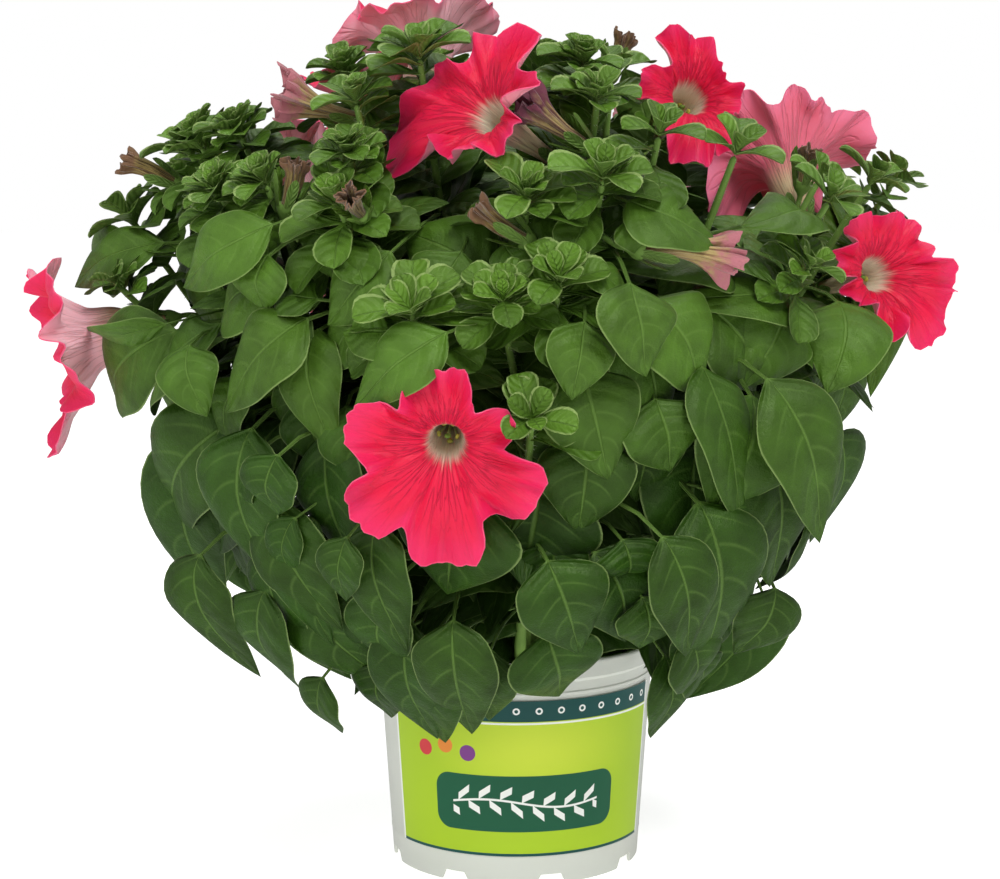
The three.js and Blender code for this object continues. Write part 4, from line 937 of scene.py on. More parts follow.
class PlantPlan:
    """Where every stem, leaf, rosette and stalk of the solids is."""

    TOLERANCE = 0.05  # between a planned point and the same point of a solid

    def __init__(self, nodes: dict[str, bpy.types.Object]) -> None:
        """Plans the stems and finds their leaves and stalks.

        Args:
            nodes: The frame's nodes by name.
        """
        self.stems = [self._stem(index, ring, tips) for index, (ring, tips) in enumerate(STEM_PLANS)]
        self.trees = {stem.name: self._tree(nodes[stem.name]) for stem in self.stems}
        self.blades: dict[str, list[Blade]] = {stem.name: [] for stem in self.stems}
        self.stalks: dict[str, list[Stalk]] = {stem.name: [] for stem in self.stems}
        self.missed = 0
        self.room = BloomRoom.of_plan()
        for throat, face, _, tube, _ in BLOOM_PLANS:
            axes = BloomAxes.facing(face)
            self._place_stalk(np.array(throat, float) - axes.forward * tube, axes)
        for seat, mouth, _ in WITHERED_PLANS:
            self._place_stalk(np.array(seat, float), BloomAxes.facing(np.subtract(mouth, seat)))
        for row in (*FRONT_LEAVES, *self._back_leaves()):
            self._place_leaf(row)

    @staticmethod
    def _tree(node: bpy.types.Object) -> KDTree:
        """The node's points in millimetres, ready to be searched."""
        vertices = node.data.vertices
        tree = KDTree(len(vertices))
        for i, vertex in enumerate(vertices):
            tree.insert(vertex.co / METRES, i)
        tree.balance()
        return tree

    def _has(self, name: str, point: np.ndarray) -> bool:
        """Whether the node has this point."""
        return self.trees[name].find(point)[2] < self.TOLERANCE

    @staticmethod
    def _stem(index: int, ring: float, rows: Sequence[Sequence[float]]) -> StemPlan:
        """Plans one stem and its forks.

        Args:
            index: The stem's number, from 0.
            ring: Distance of its foot from the pot's axis.
            rows: Its tips, as in STEM_PLANS.

        Returns:
            The stem's plan.
        """
        tips = []
        for azimuth, height, layer, count, length in rows:
            axis = unit(outlook(azimuth, height) + 0.35 * UP)
            tips.append(Tip(crown_point(azimuth, height, layer), axis, count, length))
        main = tips[0]
        out = unit(main.point * np.array([1.0, 1.0, 0.0]))
        foot = out * ring + UP * (SOIL_EDGE - SOIL_HOLE)
        collar = out * ring + UP * (SOIL_MIDDLE + 1.5)
        rise = main.point[2] - collar[2]
        lean = float(main.point @ out) - ring
        branches = [[
            collar,
            collar + UP * (0.3 * rise + 8) + out * 0.3 * lean,
            main.point - main.axis * 0.36 * np.linalg.norm(main.point - collar),
            main.point,
        ]]
        for i, tip in enumerate(tips[1:], start=1):
            share = STEM_STEPS[i + 1]
            start = cubic(branches[0], share)
            heading = unit(cubic(branches[0], share + 0.05) - start)
            distance = float(np.linalg.norm(tip.point - start))
            branches.append([
                start, start + heading * 0.3 * distance, tip.point - tip.axis * 0.3 * distance, tip.point,
            ])
        seats = []
        for i, branch in enumerate(branches):
            path = cubic(branch, np.array(FORK_STEPS if i else STEM_STEPS))
            if i == 0:
                path = np.concatenate([[foot], path])
            first = SEATS_PER_STEP // 2 if i else SEATS_PER_STEP * 3 // 2
            for k in range(first, (len(path) - 1) * SEATS_PER_STEP - SEATS_PER_STEP // 4):
                step, share = divmod(k, SEATS_PER_STEP)
                share /= SEATS_PER_STEP
                seats.append(path[step] * (1 - share) + path[step + 1] * share)
        return StemPlan(index, out, foot, tips, branches, np.array(seats))

    def _seats_near(self, target: np.ndarray, count: int) -> list[tuple[StemPlan, np.ndarray]]:
        """The nearest free place on each stem, for the nearest few stems."""
        found = [(stem, stem.nearest_seat(target)) for stem in self.stems]
        found = [(seat[0], stem, seat[1]) for stem, seat in found if seat]
        return [(stem, point) for _, stem, point in sorted(found, key=lambda item: item[0])[:count]]

    def _place_stalk(self, seat: np.ndarray, axes: BloomAxes) -> None:
        """Finds the stem that carries a bloom.

        Args:
            seat: Seat of the bloom's tube.
            axes: Directions of the bloom.
        """
        foot = seat - axes.forward * CALYX_DEPTH
        for back in (12, 20, 30):
            target = foot - axes.forward * back - UP * 8
            for stem, point in self._seats_near(target, 8):
                stalk = Stalk(point, seat, axes)
                if sum(self._has(stem.name, corner) for corner in stalk.middle_ring()) >= 3:
                    stem.taken.append(point)
                    self.stalks[stem.name].append(stalk)
                    return
        self.missed += 1

    def _place_leaf(self, row: Sequence[float]) -> None:
        """Finds the stem and the bend that a large leaf has in the solids."""
        target = crown_point(row[0], row[1] + 6, row[5] - 0.33)
        for stem, point in self._seats_near(target, 3):
            for bend in LEAF_BENDS:
                blade = self._large_blade(point, row, bend)
                if self._has(stem.name, self._leaf_tip(row, bend)):
                    stem.taken.append(point)
                    self.blades[stem.name].append(blade)
                    return

    @staticmethod
    def _leaf_tip(row: Sequence[float], bend: Sequence[float]) -> np.ndarray:
        """Where a large leaf of the solids ends, for a row of FRONT_LEAVES and a bend."""
        base = crown_point(row[0] + bend[0], row[1], row[5] + bend[1])
        full_tip = crown_point(row[2] + bend[0], row[3], row[6] + bend[1])
        return base * (1 - bend[2]) + full_tip * bend[2]

    @staticmethod
    def _large_blade(start: np.ndarray, row: Sequence[float], bend: Sequence[float]) -> Blade:
        """A large leaf.

        Args:
            start: Its root on the stem.
            row: The leaf, as in FRONT_LEAVES.
            bend: Its bend, as in LEAF_BENDS.

        Returns:
            The leaf, whose spine passes through the base of its visible part.
        """
        base_azimuth, base_height, tip_azimuth, tip_height, width, base_layer, tip_layer, roll = row
        turn, layer, reach, extra_roll = bend
        base = crown_point(base_azimuth + turn, base_height, base_layer + layer)
        full_tip = crown_point(tip_azimuth + turn, tip_height, tip_layer + layer)
        tip = base * (1 - reach) + full_tip * reach
        hidden = float(np.linalg.norm(base - start))
        t = min(max(hidden / (hidden + float(np.linalg.norm(tip - base))), 0.25), 0.6)
        control = (base - start * (1 - t) ** 2 - tip * t * t) / (2 * t * (1 - t))
        draw = chance(base_azimuth, base_height, width)
        shown = float(np.linalg.norm(tip - base))
        hidden_share = 1 - shown / (shown + hidden)
        wide = max(LEAST_WIDENING * width, min(shown / LENGTH_TO_WIDTH, MOST_WIDENING * width))
        first = max(hidden_share * (1 - 0.14 * shown / max(hidden, 1.0)), 0.05)
        east = (base_azimuth + 180) % 360 - 180
        if abs(east) < ROLL_TO:
            share = float(eased(abs(east), ROLL_FROM, ROLL_FULL))
            roll -= math.copysign((ROLL_LEAST + ROLL_DRAW * draw) * share, east)
        if DRAWN_IN_FROM < abs(east) < DRAWN_IN_TO and row not in FRONT_LEAVES:
            share = min(max((base_height - DRAWN_IN_LOW) / DRAWN_IN_HEIGHTS, 0.0), 1.0)
            level = DRAWN_IN_SHARE + DRAWN_IN_LESS * share
            tip, control = tip * [level, level, 1.0], control * [level, level, 1.0]
        age = min(max((AGE_TOP - base_height) / AGE_FALL, AGE_LEAST), 1.0)
        return Blade(
            OVATE, (start, control, tip), outlook(base_azimuth, base_height), wide / 2, roll + extra_roll,
            age=age * (0.9 + 0.1 * draw), tint=draw, droop=3 + 4 * draw, bare=min(first, 0.6),
        )

    @staticmethod
    def _back_leaves() -> Iterator[tuple[float, ...]]:
        """The large leaves of the far side, as rows like those of FRONT_LEAVES."""
        for row, (base, tip, width) in enumerate(BACK_ROWS):
            azimuth = BACK_FROM + (BACK_STEP / 2 if row % 2 else 0)
            while azimuth <= BACK_TO:
                draws = [0.0] + [chance(azimuth, row, k) - 0.5 for k in range(1, 9)]
                yield (
                    azimuth + 8 * draws[1], base + 12 * draws[2],
                    azimuth + 24 * draws[3], tip + 14 * draws[4],
                    width + 8 * draws[5], 1.0 + 0.05 * draws[6], 1.03 + 0.08 * draws[7], 24 * draws[8],
                )
                azimuth += BACK_STEP

    def young_leaves(self, stem: StemPlan, tip_index: int) -> list[Blade]:
        """The rosette leaves that the solids have at one tip.

        Args:
            stem: The stem.
            tip_index: Number of the tip.

        Returns:
            The leaves, each with the bend that its solid has.
        """
        leaves = []
        for k in range(stem.tips[tip_index].leaf_count):
            for bend in ROSETTE_BENDS:
                leaf = self._young_blade(stem, tip_index, k, bend)
                if self._has(stem.name, leaf.spine[2]):
                    leaves.append(leaf)
                    break
        return leaves

    @staticmethod
    def _young_blade(stem: StemPlan, tip_index: int, k: int, bend: Sequence[float]) -> Blade:
        """Leaf k of a rosette, with its bend."""
        tip = stem.tips[tip_index]
        turn_bend, open_bend, size = bend
        draws = [chance(stem.index, tip_index, 10 * k + n) - 0.5 for n in range(5)]
        start = 360 * chance(stem.index, tip_index, 1)
        inner = k % 2 == 1
        turn = start + 360 / tip.leaf_count * k + 8 * draws[2] + turn_bend
        opening = (46 if inner else 78) + 10 * draws[3] + open_bend
        length = tip.leaf_length * (0.74 if inner else 1) * (1 + 0.12 * draws[4]) * size
        age = 0.2 if inner else 0.34
        return rosette_leaf(tip, turn, opening, length, ROSETTE_LIFT, age, tint=draws[3] + 0.5)


def rosette_leaf(
    tip: Tip, turn: float, opening: float, length: float, lift: float, age: float, tint: float,
    width: float = 0.3,
) -> Blade:
    """A leaf of a rosette.

    Args:
        tip: The tip that it sits at.
        turn: Its turn round the tip's axis.
        opening: Its angle from the axis.
        length: Its length.
        lift: Height of its root on the axis, from the tip.
        age: 0 young, 1 old.
        tint: Its draw.
        width: Half width as a share of the length.

    Returns:
        The leaf, arched away from the axis.
    """
    out = tip.out(turn)

    def heading(angle: float) -> np.ndarray:
        """The direction at an angle from the axis."""
        return tip.axis * math.cos(angle) + out * math.sin(angle)

    wide = math.radians(opening)
    root = tip.point + tip.axis * lift
    spine = (root, root + heading(wide - 0.32) * length * 0.55, root + heading(wide) * length)
    return Blade(OBOVATE, spine, tip.axis, length * width, age=age, tint=tint)


# ---- Finishes ----------------------------------------------------------------------------------------

Socket = bpy.types.NodeSocket
Colour = tuple[float, ...]


def colour(red: int, green: int, blue: int) -> Colour:
    """A paint colour of 0 to 255 as the linear values that a shader takes."""
    shares = (red / 255, green / 255, blue / 255)
    linear = [c / 12.92 if c <= 0.04045 else ((c + 0.055) / 1.055) ** 2.4 for c in shares]
    return (*linear, 1.0)


GREEN_SHINE = colour(235, 255, 205)
NOISE_MIDDLE = 0.5  # lines run where a noise passes its middle
PRINT_EDGE = 0.1  # half the width of a printed edge


class Recipe:
    """A material's node tree, with short calls for the nodes that the finishes use."""

    def __init__(self, name: str) -> None:
        """Starts a material with one Principled shader.

        Args:
            name: Name of the material.
        """
        self.material = bpy.data.materials.new(name)
        self.material.use_nodes = True
        self.tree = self.material.node_tree
        self.shader = next(node for node in self.tree.nodes if node.type == "BSDF_PRINCIPLED")

    def node(
        self, kind: str, inputs: dict[str | int, object] | None = None, **settings: object
    ) -> bpy.types.Node:
        """A node with its settings and inputs.

        Args:
            kind: The node's type.
            inputs: Sockets to link or values to set, by the input's name or number.
            settings: Settings of the node.

        Returns:
            The node.
        """
        made = self.tree.nodes.new(kind)
        for name, value in settings.items():
            setattr(made, name, value)
        for key, value in (inputs or {}).items():
            self.feed(made.inputs[key], value)
        return made

    def feed(self, socket: Socket, value: object) -> None:
        """Links a socket to an input, or sets the input's value."""
        if isinstance(value, bpy.types.NodeSocket):
            self.tree.links.new(value, socket)
        else:
            socket.default_value = value

    def math(self, operation: str, a: object, b: object = 0.0) -> Socket:
        """The result of one operation on one or two values."""
        return self.node("ShaderNodeMath", {0: a, 1: b}, operation=operation).outputs[0]

    def plus(self, a: object, b: object) -> Socket:
        """The sum of two values."""
        return self.math("ADD", a, b)

    def minus(self, a: object, b: object) -> Socket:
        """The first value less the second."""
        return self.math("SUBTRACT", a, b)

    def times(self, a: object, b: object) -> Socket:
        """The product of two values."""
        return self.math("MULTIPLY", a, b)

    def apart(self, a: object, b: object) -> Socket:
        """How far two values are apart."""
        return self.math("ABSOLUTE", self.minus(a, b))

    def reach(self, x: Socket, y: Socket) -> Socket:
        """The length of a step of x one way and y the other."""
        return self.math("SQRT", self.plus(self.times(x, x), self.times(y, y)))

    def eased(
        self, value: object, low: float, high: float, start: float = 0.0, end: float = 1.0
    ) -> Socket:
        """A smooth rise from start to end while the value goes from low to high."""
        inputs = {0: value, 1: low, 2: high, 3: start, 4: end}
        return self.node("ShaderNodeMapRange", inputs, interpolation_type="SMOOTHSTEP").outputs[0]

    def mix(self, share: object, a: object, b: object, blend: str = "MIX") -> Socket:
        """A mix of two colours."""
        inputs = {0: share, 6: a, 7: b}
        return self.node("ShaderNodeMix", inputs, data_type="RGBA", blend_type=blend).outputs[2]

    def uv(self) -> tuple[Socket, Socket]:
        """U and V of the piece's own map."""
        source = self.node("ShaderNodeUVMap", uv_map="UVMap").outputs[0]
        made = self.node("ShaderNodeSeparateXYZ", {0: source})
        return made.outputs[0], made.outputs[1]

    def mark(self, name: str) -> Socket:
        """A mark that the skins carry."""
        return self.node("ShaderNodeAttribute", attribute_name=name).outputs["Fac"]

    def place(self) -> Socket:
        """Object coordinates."""
        return self.node("ShaderNodeTexCoord").outputs["Object"]

    def vector(self, x: object, y: object, z: object) -> Socket:
        """A vector of three values."""
        return self.node("ShaderNodeCombineXYZ", {0: x, 1: y, 2: z}).outputs[0]

    def noise(self, where: Socket, scale: float, detail: float = 2.0, rough: float = 0.5) -> Socket:
        """Cloudy noise between 0 and 1."""
        inputs = {"Vector": where, "Scale": scale, "Detail": detail, "Roughness": rough}
        return self.node("ShaderNodeTexNoise", inputs).outputs[0]

    def circle(self, u: Socket) -> tuple[Socket, Socket]:
        """Cosine and sine of the turn round a tube, where U is its share of a whole turn."""
        turn = self.times(u, 2 * math.pi)
        return self.math("COSINE", turn), self.math("SINE", turn)

    def ribs(
        self, circle: tuple[Socket, Socket], v: Socket, fine: float, short: float, detail: float
    ) -> Socket:
        """Noise drawn out along a tube, without a seam.

        Args:
            circle: What circle() returned.
            v: Place along the tube.
            fine: How fine the noise is round the tube.
            short: How short it is along the tube.
            detail: Detail of the noise.

        Returns:
            Noise between 0 and 1.
        """
        east, north = circle
        where = self.vector(self.times(east, fine), self.times(north, fine), self.times(v, short))
        return self.noise(where, 1.0, detail)

    def line(self, noise: Socket, width: float) -> Socket:
        """Thin lines where a noise passes its middle."""
        return self.eased(self.apart(noise, NOISE_MIDDLE), width, 0.0)

    def bump(self, height: Socket, distance: float, strength: float = 1.0) -> None:
        """Gives the shader a relief.

        Args:
            height: Height of the relief, 0 to 1.
            distance: Depth of the relief in millimetres.
            strength: Share of the relief that shows.
        """
        inputs = {"Height": height, "Distance": distance * METRES, "Strength": strength}
        self.feed(self.shader.inputs["Normal"], self.node("ShaderNodeBump", inputs).outputs[0])

    def finish(self, **sockets: object) -> bpy.types.Material:
        """Feeds the shader's sockets and hands over the material.

        Args:
            sockets: Values or links, by the socket's name with _ for a space.

        Returns:
            The material.
        """
        for name, value in sockets.items():
            self.feed(self.shader.inputs[name.replace("_", " ")], value)
        return self.material


@dataclass(frozen=True)
class LeafFinish:
    """A matte, softly hairy leaf with a pale midrib, side veins and margin."""

    name: str
    young: Colour
    old: Colour
    vein: Colour
    margin: Colour
    vein_share: float
    relief: float
    side_veins: float = 5.0
    side_shift: float = 0.4  # between the side veins of the two halves, as a share of their spacing
    side_bow: float = 0.3
    side_strength: float = 0.45
    side_width: float = 0.1
    midrib_edge: float = 0.055
    midrib_core: float = 0.012
    margin_width: float = 0.035
    light: tuple[float, float, float] = (0.3, 0.31, 0.27)  # before draw and clouds are added
    draw_light: float = 0.45
    cloud_light: float = 1.2
    # painted shade: how much darker the leaf is painted towards its edges
    painted_rim_shade: float = 0.12
    young_age: float = 0.3
    grown_age: float = 0.55

    def material(self) -> bpy.types.Material:
        """The leaf's material."""
        r = Recipe(self.name)
        u, v = r.uv()
        across = r.apart(r.times(u, 2.0), 1.0)
        from_vein = self._from_vein(r, u, v, across)
        side_vein = r.times(r.eased(from_vein, self.side_width, 0.0), r.eased(across, 0.9, 0.35))
        midrib = r.eased(across, self.midrib_edge, self.midrib_core)
        veins = r.math("MAXIMUM", r.times(side_vein, self.side_strength), midrib)
        age = r.mark("age")
        tint = r.mark("tint")
        cloud = r.noise(r.place(), 90, 3)
        # The colour is multiplied by the leaf's draw and clouds and by a painted shade towards its edges.
        base = r.mix(1.0, r.mix(age, self.young, self.old), self._shade(r, tint, cloud, across), "MULTIPLY")
        base = r.mix(r.times(veins, self.vein_share), base, self.vein)
        base = r.mix(self._margin(r, across, age), base, self.margin)
        base = r.mix(r.eased(v, 0.05, 0.0, 0.0, 0.8), base, self.vein)
        r.bump(self._height(r, from_vein, midrib), self.relief)
        return r.finish(
            Base_Color=base, Roughness=r.eased(cloud, 0.3, 0.7, 0.56, 0.44), Specular_IOR_Level=0.42,
            Specular_Tint=GREEN_SHINE,
        )

    def _from_vein(self, r: Recipe, u: Socket, v: Socket, across: Socket) -> Socket:
        """Distance from the nearest side vein, 0 to 0.5."""
        shift = r.times(r.math("GREATER_THAN", u, 0.5), self.side_shift)
        bow = r.times(r.math("POWER", across, 1.7), self.side_bow)
        rank = r.times(r.minus(v, bow), self.side_veins)
        return r.apart(r.math("FRACT", r.plus(rank, shift)), 0.5)

    def _shade(self, r: Recipe, tint: Socket, cloud: Socket, across: Socket) -> Socket:
        """How light the leaf is: its own draw and clouds, and painted shade towards its edges."""
        light = r.plus(r.times(tint, self.draw_light), r.times(cloud, self.cloud_light))
        # Painted shade: darker towards the edges.
        light = r.minus(light, r.times(r.eased(across, 0.3, 0.95), self.painted_rim_shade))
        inputs = {channel: r.plus(light, start) for channel, start in enumerate(self.light)}
        return r.node("ShaderNodeCombineColor", inputs).outputs[0]

    def _margin(self, r: Recipe, across: Socket, age: Socket) -> Socket:
        """The pale margin, which is broader and stronger on a young leaf."""
        start = r.eased(age, self.young_age, self.grown_age, 0.82, 0.955)
        edge = r.eased(r.minus(across, start), 0.0, self.margin_width)
        return r.times(edge, r.eased(age, self.young_age, self.grown_age, 0.65, 0.4))

    def _height(self, r: Recipe, from_vein: Socket, midrib: Socket) -> Socket:
        """The relief: quilted between the veins, pebbled and finely hairy."""
        quilt = r.eased(from_vein, 0.0, 0.5)
        pebble = r.noise(r.place(), 520, 3, 0.6)
        fine = r.noise(r.place(), 1900, 2)
        height = r.plus(r.times(quilt, 0.5), r.times(pebble, 0.55))
        height = r.plus(height, r.times(fine, 0.25))
        return r.minus(height, r.times(midrib, 0.5))


@dataclass(frozen=True)
class StemFinish:
    """A pale green, hairy stem, faintly streaked along its length."""

    name: str = "stem_green"
    light: Colour = colour(128, 160, 78)
    dark: Colour = colour(78, 114, 44)

    def material(self) -> bpy.types.Material:
        """The stem's material."""
        r = Recipe(self.name)
        u, v = r.uv()
        streak = r.noise(r.vector(r.times(u, 9.0), r.times(v, 3.0), r.mark("tint")), 1.0, 3)
        cloud = r.noise(r.place(), 120, 2)
        base = r.mix(r.times(r.plus(streak, cloud), 0.5), self.dark, self.light)
        r.bump(r.noise(r.place(), 1800, 2), 0.15)
        return r.finish(
            Base_Color=base, Roughness=0.55, Specular_IOR_Level=0.25, Specular_Tint=GREEN_SHINE,
        )


@dataclass(frozen=True)
class PetalFace:
    """The velvety upper side of a petal: pale veined throat, dark veins, bright limb, magenta rim."""

    name: str = "petal_face"
    deep: Colour = colour(122, 104, 72)
    throat: Colour = colour(232, 222, 196)
    vein: Colour = colour(160, 6, 44)
    limb: Colour = colour(218, 14, 62)
    rim: Colour = colour(222, 30, 88)
    edge: Colour = colour(236, 120, 154)
    thin_vein: float = 0.035
    thick_vein: float = 0.02
    throat_start: float = 0.51
    throat_full: float = 0.41

    def material(self) -> bpy.types.Material:
        """The petal's material."""
        r = Recipe(self.name)
        u, v = r.uv()
        circle = r.circle(u)
        thin = r.ribs(circle, v, 11.0, 3.2, 2)
        thick = r.ribs(circle, v, 4.2, 1.6, 1)
        lines = r.math("MAXIMUM", r.line(thin, self.thin_vein), r.line(thick, self.thick_vein))
        lines = r.times(lines, r.times(r.eased(v, 0.3, 0.5), r.eased(v, 0.95, 0.55, 0.1, 0.6)))
        cloud = r.noise(r.place(), 70, 3)
        base = r.mix(r.eased(r.plus(v, r.times(cloud, 0.18)), 0.86, 1.08), self.limb, self.rim)
        base = r.mix(lines, base, self.vein)
        streak = r.plus(v, r.times(r.minus(thin, NOISE_MIDDLE), 0.1))
        pale = r.mix(r.times(lines, 0.8), self.throat, self.deep)
        base = r.mix(r.eased(streak, self.throat_start, self.throat_full), base, pale)
        base = r.mix(r.eased(v, 0.99, 1.0, 0.0, 0.4), base, self.edge)
        crease = r.ribs(circle, v, 7.0, 1.0, 3)
        fine = r.noise(r.place(), 900, 2)
        height = r.plus(r.times(fine, 0.18), r.times(crease, 1.3))
        r.bump(r.minus(height, r.times(lines, 0.4)), 0.9)
        return r.finish(
            Base_Color=base, Roughness=0.5, Sheen_Weight=0.12, Sheen_Roughness=0.45,
            Sheen_Tint=colour(255, 120, 170), Specular_IOR_Level=0.3, Subsurface_Weight=0.2,
            Subsurface_Radius=(1.0, 0.25, 0.35), Subsurface_Scale=0.002,
        )


@dataclass(frozen=True)
class PetalBack:
    """The paler back of a petal with its ribbed, yellowish green tube."""

    name: str = "petal_back"
    tube: Colour = colour(214, 192, 150)
    vein: Colour = colour(150, 104, 84)
    limb: Colour = colour(246, 186, 196)
    rim: Colour = colour(236, 120, 152)
    flush: Colour = colour(226, 52, 96)
    vein_width: float = 0.04

    def material(self) -> bpy.types.Material:
        """The petal back's material. Its flush follows the age mark."""
        r = Recipe(self.name)
        u, v = r.uv()
        lines = r.line(r.ribs(r.circle(u), v, 7.0, 1.5, 2), self.vein_width)
        base = r.mix(r.eased(v, 0.22, 0.5), self.tube, r.mix(r.mark("age"), self.limb, self.flush))
        cloud = r.noise(r.place(), 60, 2)
        base = r.mix(r.eased(r.plus(v, r.times(cloud, 0.3)), 0.95, 1.25), base, self.rim)
        base = r.mix(r.times(lines, r.eased(v, 0.8, 0.25, 0.08, 0.6)), base, self.vein)
        r.bump(r.minus(r.times(r.noise(r.place(), 900, 2), 0.3), lines), 0.3)
        return r.finish(
            Base_Color=base, Roughness=0.6, Sheen_Weight=0.2, Sheen_Roughness=0.5,
            Sheen_Tint=colour(255, 220, 230), Specular_IOR_Level=0.3, Subsurface_Weight=0.25,
            Subsurface_Radius=(1.0, 0.4, 0.4), Subsurface_Scale=0.002,
        )


@dataclass(frozen=True)
class WitheredFinish:
    """A dried corolla: olive and brown ribs, purple towards its crumpled mouth."""

    name: str
    tube: Colour
    rib: Colour
    mouth: Colour

    def material(self) -> bpy.types.Material:
        """The withered bloom's material."""
        r = Recipe(self.name)
        u, v = r.uv()
        ribs = r.ribs(r.circle(u), v, 4.5, 1.2, 3)
        cloud = r.noise(r.place(), 260, 4)
        fade = r.plus(v, r.times(r.minus(cloud, NOISE_MIDDLE), 0.7))
        base = r.mix(r.eased(ribs, 0.42, 0.56), self.rib, self.tube)
        base = r.mix(r.eased(fade, 0.62, 0.92), base, self.mouth)
        base = r.mix(r.eased(cloud, 0.66, 0.78, 0.0, 0.5), base, self.rib)
        wrinkles = r.noise(r.place(), 700, 4, 0.65)
        r.bump(r.plus(r.times(ribs, 0.8), r.times(wrinkles, 0.7)), 0.7)
        return r.finish(
            Base_Color=base, Roughness=0.7, Sheen_Weight=0.3, Sheen_Roughness=0.5, Specular_IOR_Level=0.25,
        )


@dataclass(frozen=True)
class PlainFinish:
    """A small living part of one colour, mottled."""

    name: str
    light: Colour
    dark: Colour
    grain: float = 500.0
    roughness: float = 0.6
    relief: float = 0.2

    def material(self) -> bpy.types.Material:
        """The material."""
        r = Recipe(self.name)
        cloud = r.noise(r.place(), self.grain, 3)
        base = r.mix(r.eased(cloud, 0.3, 0.7), self.dark, self.light)
        r.bump(r.noise(r.place(), self.grain * 3, 2), self.relief)
        return r.finish(Base_Color=base, Roughness=self.roughness, Specular_IOR_Level=0.3)


@dataclass(frozen=True)
class PotPlastic:
    """White injection-moulded plastic, satin, with faint flow marks and a little dust."""

    name: str = "pot_plastic"
    white: Colour = colour(208, 211, 202)
    dust: Colour = colour(196, 195, 186)

    def material(self) -> bpy.types.Material:
        """The plastic."""
        r = Recipe(self.name)
        place = r.place()
        cloud = r.noise(place, 28, 4)
        base = r.mix(r.eased(cloud, 0.5, 0.85, 0.0, 0.5), self.white, self.dust)
        flow = r.node("ShaderNodeMapping", {"Vector": place, "Scale": (30.0, 30.0, 900.0)}).outputs[0]
        r.bump(r.plus(r.noise(flow, 1.0, 2), r.times(r.noise(place, 2600, 1), 0.4)), 0.06, 0.5)
        return r.finish(
            Base_Color=base, Roughness=r.eased(cloud, 0.3, 0.7, 0.3, 0.42), Specular_IOR_Level=0.45,
            Subsurface_Weight=0.05, Subsurface_Radius=(1.0, 1.0, 1.0), Subsurface_Scale=0.001,
        )


@dataclass(frozen=True)
class SoilFinish:
    """Dark brown potting soil with lighter fibres."""

    name: str = "potting_soil"
    dark: Colour = colour(38, 26, 18)
    light: Colour = colour(88, 66, 46)

    def material(self) -> bpy.types.Material:
        """The soil's material."""
        r = Recipe(self.name)
        place = r.place()
        cloud = r.noise(place, 240, 5, 0.65)
        base = r.mix(r.eased(cloud, 0.42, 0.75), self.dark, self.light)
        r.bump(r.noise(place, 900, 4, 0.7), 1.2)
        return r.finish(Base_Color=base, Roughness=0.95, Specular_IOR_Level=0.15)


